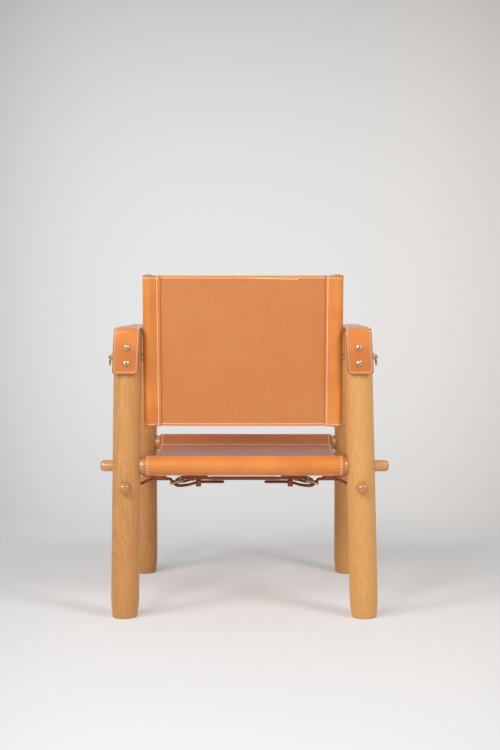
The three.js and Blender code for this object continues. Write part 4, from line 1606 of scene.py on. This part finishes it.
@dataclass
class ArmStraps(Part):
    """The thick stitched straps over the post tops, with their screws."""

    width: float = 0.0568
    thickness: float = 0.007
    bend: float = 0.009
    tab: float = 0.100
    corner: float = 0.008
    row: float = 0.0042
    pitch: float = 0.0056
    fill: float = 0.56
    thread: float = 0.00115
    creases: tuple[float, ...] = (0.0022, 0.005, 0.009, 0.016)
    edge_round: float = 0.0014
    cup: float = 0.0014
    cup_start: float = 0.03
    bend_sink: float = 0.0026
    bend_past: float = 0.004
    bend_reach: float = 0.022
    pinch: float = 0.012
    pinch_reach: float = 0.034
    splay: float = math.tan(math.radians(1.8))
    # The painted shade on the lower part of each tab: its length, darkness and softness.
    worn_tab: float = 0.042
    worn_depth: float = 0.3
    worn_soft: float = 0.03
    head_radius: float = 0.0073
    head_height: float = 0.0046
    head_edge: float = 0.001
    head_under: float = 0.0004
    screw_length: float = 0.032
    slot_size: Triple = (0.02, 0.0019, 0.004)

    @property
    def face(self) -> float:
        """The depth of a tab's inner face from the chair's middle."""
        return self.setting.half_depth + self.setting.post_radius + self.setting.fit_gap

    @property
    def top(self) -> float:
        """The height of a strap's upper face."""
        return self.setting.post_height + self.setting.fit_gap + self.thickness

    def line(self) -> list[Spot]:
        """The strap's middle line in depth and height, from the front tab to the rear one.

        Returns:
            The points.
        """
        outer = self.face + self.thickness / 2
        level = self.top - self.thickness / 2
        radius = self.bend - self.thickness / 2
        rear = arc((outer - radius, level - radius), (radius, radius), 90, 0, 10) + [(outer, self.top - self.tab)]
        return [(-y, z) for y, z in reversed(rear)] + [(0.0, level)] + rear

    def build(self) -> None:
        """Cuts, bends and sews both straps and drives their screws."""
        for side in Side:
            self.strap(side)
            for end in End:
                for row, level in zip(("upper", "lower"), self.setting.screw_levels):
                    self.screw(side, end, row, level)

    def strap(self, side: Side) -> None:
        """Makes one strap and its stitching.

        Args:
            side: The strap's side.
        """
        course = Course(self.line())
        half, length = self.width / 2, course.length

        def place(a: float, b: float, w: float) -> Vector:
            """Takes the section to the side frame, drawn in where it bends.

            Args:
                a: Depth.
                b: Height.
                w: Distance across the strap.

            Returns:
                The point in the chair's frame.
            """
            pull = eased(math.hypot(abs(a) - self.face, b - self.top) / self.pinch_reach)
            splay = self.splay * max(0.0, self.top - self.bend - b)
            out = self.setting.half_width(side, a, b) + splay
            return Vector((side.value * out + w * (1 - self.pinch * pull), a, b))

        def swell(s: float, w: float) -> float:
            """The tops cup a little, the corners round off and the hide isn't quite even.

            Args:
                s: Distance along the cut.
                w: Distance across it.

            Returns:
                How far the leather stands off its course.
            """
            near = min(s, length - s)
            over = clamped((near - self.tab) / self.cup_start)
            off = abs(near - (self.tab - self.bend) - self.bend_past) / self.bend_reach
            rounded = -self.bend_sink * eased(off) * (w / half) ** 4
            wave = uneven(s, w, side.value * 4.0, (9, 20), 0.0004)
            return wave + rounded + over * self.cup * ((w / half) ** 2 - 0.4)

        cut = LeatherCut(
            f"arm_leather_{side.word}",
            course,
            self.width,
            self.thickness,
            place,
            start_corner=self.corner,
            end_corner=self.corner,
            creases=self.creases,
            edge_round=self.edge_round,
            swell=swell,
        )
        # Painted shade on the lower part of both tabs.
        stretches = ((-0.05, self.worn_tab), (length - self.worn_tab, length + 0.05))
        worn = [Wear(start, stop, self.worn_depth, self.worn_soft) for start, stop in stretches]
        strap = carved(cut.piece(self.finishes.arm, (self.row,), worn), self.screw_ways(side))
        rows = [StitchRow(self.ring(length), self.pitch, self.fill)]
        thread = cut.sewn(f"arm_stitching_{side.word}", rows, self.finishes.thread, self.thread)
        dress(f"arm_strap_{side.word}", "frame", "arm_leather", strap, thread)

    def ring(self, length: float) -> tuple[Spot, ...]:
        """The one row of stitches that runs all round a strap.

        Args:
            length: The cut's length.

        Returns:
            The row's points.
        """
        edge, end, turn = self.width / 2 - self.row, self.row, self.corner - self.row
        lap = [(end + turn - x, -edge + turn - y) for x, y in arc((0, 0), (turn, turn), 0, 90, 4)]
        start = lap[::-1] + [(s, -w) for s, w in lap]
        return (*start, *((length - s, w) for s, w in reversed(start)), start[0])

    def screw_ways(self, side: Side) -> list[Form]:
        """The holes through the tabs for the screws.

        Args:
            side: The strap's side.

        Returns:
            The cutters.
        """
        wall = self.setting.screw_radius + self.setting.fit_gap
        found = []
        for end in End:
            inner, outer = end.value * (self.face - 0.003), end.value * (self.face + 0.012)
            for level in self.setting.screw_levels:
                stand = Matrix.Translation((0, 0, level)) @ TO_Y
                found.append(self.setting.onto(bore(inner, outer, wall, stand, 20), side))
        return found

    def screw(self, side: Side, end: End, row: str, level: float) -> None:
        """Turns one domed slotted screw.

        Args:
            side: The strap's side.
            end: The tab's end.
            row: The row's word in the node's name.
            level: The screw's height.
        """
        node = f"arm_screw_{end.word}_{side.word}_{row}"
        shank, under = self.setting.screw_radius, self.head_under
        outline = [
            (0.0, -self.screw_length),
            (shank, 0.005 - self.screw_length),
            (shank, 0.0),
            (self.head_radius - under, 0.0),
            (self.head_radius, under),
            *arc((0, self.head_edge), (self.head_radius, self.head_height - self.head_edge), 0, 90, 10),
        ]
        y = end.value * (self.face + self.thickness + self.setting.fit_gap)
        x = side.value * self.setting.half_width(side, y, level)
        stand = Matrix.Translation((x, y, level)) @ Matrix.Rotation(-end.value * math.pi / 2, 4, "X")
        made = to_object(spun(outline, 40, stand), f"turned_{node}", [self.finishes.brass, self.finishes.tarnish])
        driven = Matrix.Rotation(math.radians(25 + 70 * level * 10 + 40 * side.value + 15 * end.value), 4, "Z")
        lift = Matrix.Translation((0, 0, self.head_height + 0.0002))
        slot = bmesh.new()
        bmesh.ops.create_cube(slot, size=1, matrix=stand @ driven @ lift @ Matrix.Diagonal((*self.slot_size, 1)))
        bmesh.ops.recalc_face_normals(slot, faces=slot.faces[:])
        # The slot's faces take the dark brass: painted shade in the slot.
        for face in slot.faces:
            face.material_index = 1
        dress(node, "frame", "brass", carved(made, [slot]))


@dataclass
class PivotFittings(Part):
    """The pivot bolts' collars and lugs, their drop rings, washers and inserts."""

    collar_radius: float = 0.008
    collar_thickness: float = 0.004
    soft: float = 0.0008
    lug_length: float = 0.008
    lug_width: float = 0.007
    lug_height: float = 0.0105
    lug_root: float = 0.002
    lug_soft: float = 0.0006
    eye_radius: float = 0.0027
    ring_radius: float = 0.009
    wire_radius: float = 0.0018
    ring_drop: float = 0.0087
    tips: Spot = (0.204879, 0.198216)
    collars: Spot = (0.288346, 0.281876)

    def build(self) -> None:
        """Makes both bolts and rings and dresses the small nodes."""
        for side, tip, collar in zip(Side, self.tips, self.collars):
            self.bolt(side, tip, collar)
            self.ring(side, collar + self.collar_thickness + self.lug_length / 2)
        for name in ("pivot_washer", "pivot_insert"):
            for side in Side:
                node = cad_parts[f"{name}_{side.word}"]
                for slot in node.material_slots:
                    slot.material = self.finishes.brass

    def stand(self, side: Side) -> Matrix:
        """Takes a form drawn outwards along Z to a side's pivot."""
        flip = Matrix.Rotation(0.0 if side is Side.LEFT else math.pi, 4, "Z")
        return Matrix.Translation((0, self.setting.half_depth, self.setting.pivot_level)) @ flip @ TO_X

    def bolt(self, side: Side, tip: float, collar: float) -> None:
        """Turns a bolt and makes its lug, bored for the ring.

        Args:
            side: The bolt's side.
            tip: Place of its inner end from the chair's middle.
            collar: Place of its collar's inner face.
        """
        shank, head, soft = self.setting.bolt_radius, self.collar_radius, self.soft
        end = collar + self.collar_thickness
        outline = [
            (0.0, tip),
            (shank - soft, tip),
            (shank, tip + soft),
            (shank, collar),
            (head - soft, collar),
            (head, collar + soft),
            (head, end - soft),
            (head - soft, end),
            (0.0, end),
        ]
        stand = self.stand(side)
        shaft = self.cast(spun(outline, 40, stand), f"turned_bolt_{side.word}", 30)
        half, root, middle = self.lug_height / 2, end - self.lug_root, end + self.lug_length / 2
        nose = arc((0, middle), (half, self.lug_length / 2), 180, 0, 14)
        lug = bmesh.new()
        lug.faces.new([lug.verts.new((x, -self.lug_width / 2, z)) for x, z in ((half, root), (-half, root), *nose)])
        thickened(lug, (0, self.lug_width, 0), 0.9, self.lug_soft, 3)
        eye = bore(-0.01, 0.01, self.eye_radius, TO_Y)
        bmesh.ops.translate(eye, vec=(0, 0, middle), verts=eye.verts[:])
        lug_piece = to_object(turned(lug, stand), f"bolt_lug_{side.word}", [self.finishes.brass])
        carved(lug_piece, [turned(eye, stand)])
        dress(f"pivot_bolt_{side.word}", "back", "brass", shaft, lug_piece)

    def ring(self, side: Side, place: float) -> None:
        """Bends a drop ring.

        Args:
            side: The ring's side.
            place: Its distance from the chair's middle.
        """
        bm = bmesh.new()
        bmesh.ops.create_circle(bm, segments=16, radius=self.wire_radius)
        revolved(turned(bm, Matrix.Translation((self.ring_radius, 0, 0)) @ TO_Y), 48)
        y, z = self.setting.half_depth, self.setting.pivot_level - self.ring_drop
        turned(bm, Matrix.Translation((side.value * place, y, z)) @ TO_X)
        made = self.cast(bm, f"drop_ring_{side.word}", 60)
        dress(f"bolt_ring_{side.word}", f"ring_{side.word}", "brass", made)


@dataclass
class Belts(Part):
    """The two buckled belts below the seat that draw the side rails together."""

    belt_place: float = 0.115
    width: float = 0.026
    thickness: float = 0.0036
    fold_thickness: float = 0.0026
    square_corner: float = 0.002
    edge_row: float = 0.0028
    longest: float = 0.006
    loop_seam: float = 0.045
    loop_end: float = 0.080
    seam_inset: float = 0.004
    seam_side: float = 0.0035
    seam_pitch: float = 0.005
    seam_thread: float = 0.0005
    strap_level: float = -0.0002
    bar_inset: float = 0.118
    bar_room: float = 0.0023591
    buckle_length: float = 0.0285
    wire: float = 0.0036
    wire_round: float = 0.0012
    buckle_corner: float = 0.004
    buckle_side_gap: float = 0.001
    buckle_tilt: float = math.radians(12)
    fold_length: float = 0.027
    fold_rise: float = 0.008
    thin_past: float = 0.016
    skive: float = 0.010
    lining_skive: float = 0.006
    prong_radius: float = 0.0015
    prong_eye: float = 0.0016
    prong_lap: float = 0.002
    prong_drop: float = 0.0006
    loop_drop: float = 0.017
    tail_corner: float = 0.009
    tail_drop: float = 0.0086
    tail_tip: float = 0.2135
    keeper_inset: float = 0.148
    keeper_length: float = 0.0115
    keeper_thickness: float = 0.002
    keeper_drop: float = 0.018
    keeper_corner: float = 0.0025
    keeper_room: float = 0.0008
    keeper_join: float = 0.0002
    safe_thickness: float = 0.0024
    safe_end: float = 0.175
    safe_tip: float = 0.101
    safe_tip_drop: float = 0.0034
    safe_corner: float = 0.008
    thin_round: float = 0.0004
    lined_half: float = 0.082
    lined_thickness: float = 0.0054

    @property
    def bar_level(self) -> float:
        """The buckle bar's height above the side rail's axis."""
        return self.strap_level - self.thickness / 2 - self.bar_room

    @property
    def toe(self) -> Spot:
        """The buckle toe's distance inboard and height."""
        cos, sin = math.cos(self.buckle_tilt), math.sin(self.buckle_tilt)
        return self.bar_inset - self.buckle_length * cos, self.bar_level - self.buckle_length * sin

    def mapped(self, side: Side, y: float) -> Callable[[float, float], Spot]:
        """Takes a distance inboard and a height to x and z, for one side of one belt.

        Args:
            side: The half's side.
            y: The belt's depth.

        Returns:
            What takes them.
        """

        def to_frame(u: float, v: float) -> Spot:
            """The place in the chair's frame."""
            z = self.setting.side_level + v
            return side.value * (self.setting.half_width(side, y, z) - u), z

        return to_frame

    def placed(self, side: Side, y: float) -> Place:
        """Takes a half's drawing and a distance across to the chair.

        Args:
            side: The half's side.
            y: The belt's depth.

        Returns:
            What takes them.
        """
        to_frame = self.mapped(side, y)

        def place(a: float, b: float, w: float) -> Vector:
            """The point in the chair's frame."""
            x, z = to_frame(a, b)
            return Vector((x, y + w, z))

        return place

    def build(self) -> None:
        """Makes both belts."""
        for end in End:
            y = end.value * self.belt_place
            self.centre_strap(end, y)
            for side in Side:
                tag = f"{end.word}_{side.word}"
                for make in (self.end_strap, self.safe, self.keeper, self.buckle, self.prong):
                    make(side, y, tag)

    def run(self) -> list[Spot]:
        """The loose strap: over the toe, down through the frame and back up as a tail.

        Returns:
            The points, inboard of the side rail's axis and up from it.
        """
        toe_x, toe_z = self.toe
        ply, gap = self.thickness / 2, self.setting.fit_gap
        clear = self.wire / 2 + ply + gap
        sag_place = self.bar_inset + 0.002
        span = self.tail_tip - self.bar_inset

        def rise(share: float) -> float:
            """The height at a share of the way from the loop to the tail."""
            return -self.loop_drop + (self.loop_drop - self.tail_drop) * share

        fall = toe_x + clear + (sag_place - toe_x - clear) * 0.4
        return [
            (self.loop_end, -ply),
            (toe_x - self.wire / 2, -ply - gap),
            (toe_x + clear, toe_z + ply + gap),
            (fall, -self.loop_drop + gap),
            (sag_place, -self.loop_drop),
            (sag_place + 0.16 * span, rise(0.3)),
            (self.keeper_inset, rise(0.8)),
            (self.keeper_inset + self.keeper_length, -self.tail_drop),
            (self.tail_tip, -self.tail_drop),
        ]

    def end_strap(self, side: Side, y: float, tag: str) -> None:
        """Cuts one end strap: its sewn loop round the side rail and its loose run.

        Args:
            side: The half's side.
            y: The belt's depth.
            tag: The half's words in names.
        """
        setting = self.setting
        sleeve = Sleeve(setting.rail_radius, self.thickness, setting.fit_gap, self.loop_seam, self.loop_end)
        ply, opening = sleeve.ply, 180 - math.degrees(sleeve.wrap)
        loop = arc((0, 0), (sleeve.radius,) * 2, 360 - opening, opening, 26)
        loose = smooth_line(self.run(), 4)[::-1]
        line = [*loose, (self.loop_seam, -ply), *loop, (self.loop_seam, ply), (self.loop_end, ply)]
        course = Course(line, 1)
        cut = LeatherCut(
            f"end_strap_{tag}",
            course,
            self.width,
            self.thickness,
            self.placed(side, y),
            start_corner=self.tail_corner,
            end_corner=self.square_corner,
            longest=self.longest,
        )
        strap = cut.piece(self.finishes.belt, (self.edge_row,))
        edge, inset = self.width / 2 - self.seam_side, self.seam_inset
        start, stop = course.length - inset, course.length - (self.loop_end - self.loop_seam) + inset
        box = ((start, -edge), (start, edge), (stop, edge), (stop, -edge), (start, -edge))
        rows = [StitchRow(box, self.seam_pitch, inside=False)]
        seam = cut.sewn(f"end_seam_{tag}", rows, self.finishes.belt_thread, self.seam_thread)
        dress(f"belt_end_{tag}", "frame", "belt_leather", strap, seam)

    def centre_strap(self, end: End, y: float) -> None:
        """Cuts the centre strap, folded round both buckle bars.

        Args:
            end: Which belt.
            y: Its depth.
        """
        fold = self.bar_room + self.fold_thickness / 2
        inner = self.bar_inset + self.fold_length
        sewn = inner - self.fold_rise
        shoulder = self.bar_inset + self.fold_rise / 2
        low = self.strap_level - self.thickness / 2 - self.fold_thickness / 2
        top = self.bar_level + fold
        half = [
            (inner, low),
            (sewn, low),
            (shoulder, self.bar_level - fold),
            *arc((self.bar_inset, self.bar_level), (fold, fold), 270, 90, 16),
            (shoulder, top + (self.strap_level - top) * 0.6),
            (sewn, self.strap_level),
        ]
        right, left = self.mapped(Side.RIGHT, y), self.mapped(Side.LEFT, y)
        course = Course([right(u, v) for u, v in half] + [left(u, v) for u, v in reversed(half)], 1)
        thin = self.fold_length + self.thin_past

        def ply(s: float) -> float:
            """The fold is skived thin and the middle is lined.

            Args:
                s: Distance along the cut.

            Returns:
                The share of the middle's thickness.
            """
            share = clamped((min(s, course.length - s) - thin) / self.skive)
            lined = clamped((self.lined_half - abs(s - course.length / 2)) / self.lining_skive)
            wall = self.fold_thickness + (self.thickness - self.fold_thickness) * share
            return (wall + (self.lined_thickness - self.thickness) * lined) / self.lined_thickness

        def place(a: float, b: float, w: float) -> Vector:
            """The point in the chair's frame."""
            return Vector((a, y + w, b))

        cut = LeatherCut(
            f"centre_strap_{end.word}",
            course,
            self.width,
            self.lined_thickness,
            place,
            start_corner=self.square_corner,
            end_corner=self.square_corner,
            longest=self.longest,
            ply=ply,
        )
        strap = cut.piece(self.finishes.belt, (self.edge_row,))
        dress(f"belt_centre_{end.word}", "frame", "belt_leather", strap)

    def safe(self, side: Side, y: float, tag: str) -> None:
        """Cuts the tongue that lies between buckle and seat.

        Args:
            side: The half's side.
            y: The belt's depth.
            tag: The half's words in names.
        """
        level = self.strap_level + self.thickness / 2 + self.setting.fit_gap + self.safe_thickness / 2
        bend = self.bar_inset - self.bar_room
        points = (
            (self.safe_tip, -self.safe_tip_drop),
            (self.safe_tip + (bend - self.safe_tip) * 0.6, level - self.safe_thickness),
            (bend, level),
            (self.safe_end, level),
        )
        cut = LeatherCut(
            f"safe_{tag}",
            Course(smooth_line(points, 6)),
            self.width,
            self.safe_thickness,
            self.placed(side, y),
            start_corner=self.safe_corner,
            end_corner=self.square_corner,
            edge_round=self.thin_round,
        )
        tongue = cut.piece(self.finishes.belt, (self.edge_row,))
        dress(f"belt_safe_{tag}", "frame", "belt_leather", tongue)

    def keeper(self, side: Side, y: float, tag: str) -> None:
        """Bends the band that holds the tail.

        Args:
            side: The half's side.
            y: The belt's depth.
            tag: The half's words in names.
        """
        wall, steps = self.keeper_thickness, 5
        half = self.width / 2 + self.keeper_room + wall / 2
        top = self.strap_level - self.thickness / 2 - self.setting.fit_gap - wall / 2
        corners = rounded_box((-half, -self.keeper_drop + wall / 2), (half, top), self.keeper_corner, steps)
        right, rest = corners[: steps + 1], corners[steps + 1 :]
        ring = [(-self.keeper_join, top), *rest, *right, (self.keeper_join, top)]
        x, _ = self.mapped(side, y)(self.keeper_inset + self.keeper_length / 2, 0.0)

        def place(a: float, b: float, w: float) -> Vector:
            """The point in the chair's frame."""
            return Vector((x + w, y + a, self.setting.side_level + b))

        cut = LeatherCut(
            f"keeper_{tag}",
            Course(ring),
            self.keeper_length,
            wall,
            place,
            creases=(0.002,),
            edge_round=self.thin_round,
        )
        dress(f"belt_keeper_{tag}", "frame", "keeper_leather", cut.piece(self.finishes.keeper, (0.002,)))

    def at_bar(self, side: Side, y: float) -> Matrix:
        """Takes X outboard along the tilted buckle, Y across and Z off it to the bar.

        Args:
            side: The half's side.
            y: The belt's depth.

        Returns:
            The matrix.
        """
        x, z = self.mapped(side, y)(self.bar_inset, self.bar_level)
        out = Vector((side.value * math.cos(self.buckle_tilt), 0, -math.sin(self.buckle_tilt)))
        across = Vector((0, 1, 0))
        return Matrix.Translation((x, y, z)) @ axes(out, across, out.cross(across))

    def buckle(self, side: Side, y: float, tag: str) -> None:
        """Forms the buckle's frame of rounded wire.

        Args:
            side: The half's side.
            y: The belt's depth.
            tag: The half's words in names.
        """
        wire = self.wire
        half = self.width / 2 + self.buckle_side_gap + wire
        low, high = (-wire / 2, -half), (self.buckle_length + wire / 2, half)
        bm = bmesh.new()
        outline = rounded_box(low, high, self.buckle_corner, 6)
        face = bm.faces.new([bm.verts.new((px, py, -wire / 2)) for px, py in outline])
        bm.normal_update()
        bmesh.ops.inset_region(bm, faces=[face], thickness=wire, use_boundary=True, use_even_offset=True)
        bmesh.ops.delete(bm, geom=[face], context="FACES")
        thickened(bm, (0, 0, wire), 1.2, self.wire_round, 4)
        turned(bm, self.at_bar(side, y))
        bmesh.ops.recalc_face_normals(bm, faces=bm.faces[:])
        dress(f"buckle_frame_{tag}", "frame", "brass", self.cast(bm, f"buckle_{tag}"))

    def prong(self, side: Side, y: float, tag: str) -> None:
        """Forms the prong: an eye round the bar and a tapered tongue.

        Args:
            side: The half's side.
            y: The belt's depth.
            tag: The half's words in names.
        """
        half, inner, outer = self.prong_radius, self.bar_room, self.bar_room + self.prong_eye
        eye = [(inner, -half), (outer, -half), (outer, half), (inner, half), (inner, -half)]
        bm = spun(eye, 28, TO_Y)
        length = self.buckle_length + self.prong_lap
        taper = [(half * 0.9, length * 0.55), (half * 0.62, length - 0.001), (half * 0.35, length), (0.0, length)]
        under = Matrix.Translation((0, 0, -(self.bar_room + self.prong_drop + half)))
        tongue = spun(arc((0, 0), (half * 0.9, half), -90, 0, 4) + taper, 14, under @ TO_X)
        mesh = bpy.data.meshes.new("tongue")
        tongue.to_mesh(mesh)
        tongue.free()
        bm.from_mesh(mesh)
        bpy.data.meshes.remove(mesh)
        stand = self.at_bar(side, y)
        if (stand.to_3x3() @ Vector((0, 0, 1))).z <= 0:
            stand = stand @ Matrix.Diagonal((1, 1, -1, 1))
        turned(bm, stand)
        bmesh.ops.recalc_face_normals(bm, faces=bm.faces[:])
        dress(f"buckle_prong_{tag}", f"prong_{tag}", "brass", self.cast(bm, f"prong_{tag}"))


@dataclass(frozen=True)
class Studio:
    """The floor, the backdrop, the lamps and the camera."""

    eye: Triple = (-0.0185, 3.162, 0.697)
    lens: float = 63.65
    tilt: float = math.radians(3.125)
    yaw: float = math.radians(0.125)
    fill: float = 0.32
    pale: float = 0.80
    reach: float = 5.262
    wall: float = -4.3
    curve: float = 0.9
    half_floor: float = 6.0
    floor_drop: float = 0.0002
    paper_top: float = 5.5
    aim: Triple = (0, 0, 0.4)
    boxes: tuple[tuple[str, Triple, float, float], ...] = (
        ("soft_box_beside_camera", (1.5, 3.4, 2.0), 0.9, 45.5),
        ("soft_box_left", (2.7, 2.3, 2.6), 1.2, 54),
        ("soft_box_right", (-2.2, 2.2, 2.4), 1.0, 46),
    )

    def build(self) -> None:
        """Sets the studio up."""
        self.camera()
        self.sweep()
        self.lamps()
        self.world()
        bpy.context.scene.view_settings.view_transform = "Standard"

    @staticmethod
    def facing(ahead: Vector) -> Euler:
        """How a camera or a lamp is turned to face a direction."""
        return ahead.to_track_quat("-Z", "Y").to_euler()

    def camera(self) -> None:
        """Puts the camera at the photograph's place."""
        data = bpy.data.cameras.new("camera")
        configured(data, lens=self.lens, sensor_width=36.0, clip_start=0.05, clip_end=50.0)
        ahead = Vector((math.sin(self.yaw), -math.cos(self.yaw), -math.tan(self.tilt)))
        made = linked("camera", data)
        bpy.context.scene.camera = configured(made, location=self.eye, rotation_euler=self.facing(ahead))

    def sweep(self) -> None:
        """Lays the pale floor and the paper that curves up behind it."""
        bm = bmesh.new()
        bend = arc((self.wall + self.curve, self.curve), (self.curve, self.curve), 270, 180, 16)
        profile = [(self.half_floor, 0.0), *bend, (self.wall, self.paper_top)]
        verts = [bm.verts.new((-self.half_floor, y, z - self.floor_drop)) for y, z in profile]
        edges = [bm.edges.new(pair) for pair in zip(verts, verts[1:])]
        shifted(bm, bmesh.ops.extrude_edge_only(bm, edges=edges), (2 * self.half_floor, 0, 0))
        bmesh.ops.recalc_face_normals(bm, faces=bm.faces[:])
        settled(to_object(bm, "paper_sweep", [self.paper()]), 60)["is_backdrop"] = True

    @staticmethod
    def seen(g: Graph) -> Socket:
        """1 where the eye, a gloss or a glass sees the surface, and 0 where light falls on it.

        Args:
            g: The tree.

        Returns:
            The value.
        """
        ray = g.node("ShaderNodeLightPath")
        found = g.sum("MAXIMUM", ray.outputs["Is Camera Ray"], ray.outputs["Is Glossy Ray"])
        return g.sum("MAXIMUM", found, ray.outputs["Is Transmission Ray"])

    def paper(self) -> Material:
        """Matt white paper whose floor keeps the chair's shadow, and which glows where it is seen, with painted
        light: darker towards its sides and top, brighter on the floor towards the camera and warmer towards one
        side.

        Returns:
            The material.
        """
        g = Graph("paper")
        across, deep, up = g.parts(g.source.outputs["Object"])
        scale = g.sum("DIVIDE", self.reach, g.sum("MAXIMUM", g.sum("SUBTRACT", self.eye[1], deep), 1.0))
        column = g.sum("MULTIPLY", across, scale)
        row = g.sum("MULTIPLY", g.sum("SUBTRACT", up, self.eye[2]), scale)
        # Painted light: the glow darkens towards the sides and the top.
        aside = g.sum("DIVIDE", g.sum("ABSOLUTE", g.sum("ADD", column, 0.08)), 1.04)
        high = g.sum("DIVIDE", g.sum("ABSOLUTE", row), 2.30)
        fall = g.sum("SUBTRACT", 1.0, g.sum("MULTIPLY", g.sum("POWER", aside, 3.6), 0.19))
        fall = g.sum("MAXIMUM", fall, 0.75)
        drop = g.sum("MAXIMUM", g.sum("SUBTRACT", 1.0, g.sum("POWER", high, 2)), 0.7)
        level = g.node("ShaderNodeMix", data_type="FLOAT")
        g.feed(level.inputs[0], g.span(deep, -0.75, -1.25))
        # Painted light on the floor: brighter towards the camera.
        g.feed(level.inputs[2], g.sum("MULTIPLY", g.span(deep, -0.8, 0.45, 0.72, 0.92), fall))
        g.feed(level.inputs[3], g.sum("MULTIPLY", g.sum("MULTIPLY", fall, drop), self.pale))
        lit = level.outputs[0]
        beyond = g.sum("MAXIMUM", g.span(g.sum("ABSOLUTE", across), 1.6, 2.8), g.span(deep, 1.2, 2.0))
        rest = g.sum("MULTIPLY", beyond, g.sum("SUBTRACT", self.pale, lit))
        warm = g.blend(g.span(column, 0.3, -1.2), WHITE, (1.0, 0.955, 0.915, 1.0))
        glow = g.node("ShaderNodeEmission")
        g.fill(glow, Color=g.blend(beyond, warm, WHITE), Strength=g.sum("ADD", lit, rest))
        matt = g.node("ShaderNodeBsdfDiffuse")
        g.fill(matt, Color=srgb(240, 240, 240))
        shown = g.sum("MAXIMUM", beyond, g.span(deep, -0.45, -1.35, 0.28, 1.0))
        both = g.node("ShaderNodeMixShader")
        for index, value in enumerate((g.sum("MULTIPLY", self.seen(g), shown), matt.outputs[0], glow.outputs[0])):
            g.feed(both.inputs[index], value)
        return g.closed(both.outputs[0])

    def lamps(self) -> None:
        """Hangs a soft box beside the camera and one on each side."""
        for name, at, size, power in self.boxes:
            data = configured(bpy.data.lights.new(name, "AREA"), shape="SQUARE", size=size, energy=power)
            turn = self.facing(Vector(self.aim) - Vector(at))
            configured(linked(name, data), location=at, rotation_euler=turn)

    def world(self) -> None:
        """Fills the room with even light, paler where it is seen than where it lights."""
        world = bpy.data.worlds.new("fill")
        world.use_nodes = True
        tree = world.node_tree
        background = tree.nodes["Background"]
        background.inputs["Color"].default_value = WHITE
        ray = tree.nodes.new("ShaderNodeLightPath")
        level = tree.nodes.new("ShaderNodeMapRange")
        level.inputs["To Min"].default_value = self.fill
        level.inputs["To Max"].default_value = self.pale
        first, second = (configured(tree.nodes.new("ShaderNodeMath"), operation="MAXIMUM") for _ in range(2))
        for source, target in (
            (ray.outputs["Is Camera Ray"], first.inputs[0]),
            (ray.outputs["Is Glossy Ray"], first.inputs[1]),
            (first.outputs[0], second.inputs[0]),
            (ray.outputs["Is Transmission Ray"], second.inputs[1]),
            (second.outputs[0], level.inputs["Value"]),
            (level.outputs["Result"], background.inputs["Strength"]),
        ):
            tree.links.new(source, target)
        bpy.context.scene.world = world


def main() -> None:
    """Builds the chair's parts in order and reports each piece."""
    logging.basicConfig(level=logging.INFO, format="%(name)s: %(message)s")
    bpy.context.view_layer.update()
    Studio().build()
    setting, finishes = SettingOut(), Finishes()
    for kind in (OakFrame, SeatSling, BackSling, ArmStraps, PivotFittings, Belts):
        before = {made.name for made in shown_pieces()}
        kind(setting, finishes).build()
        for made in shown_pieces():
            if made.name not in before:
                LOG.info("%s: %s, %d faces", kind.__name__, made.name, len(made.data.polygons))


if __name__ == "__main__":
    main()
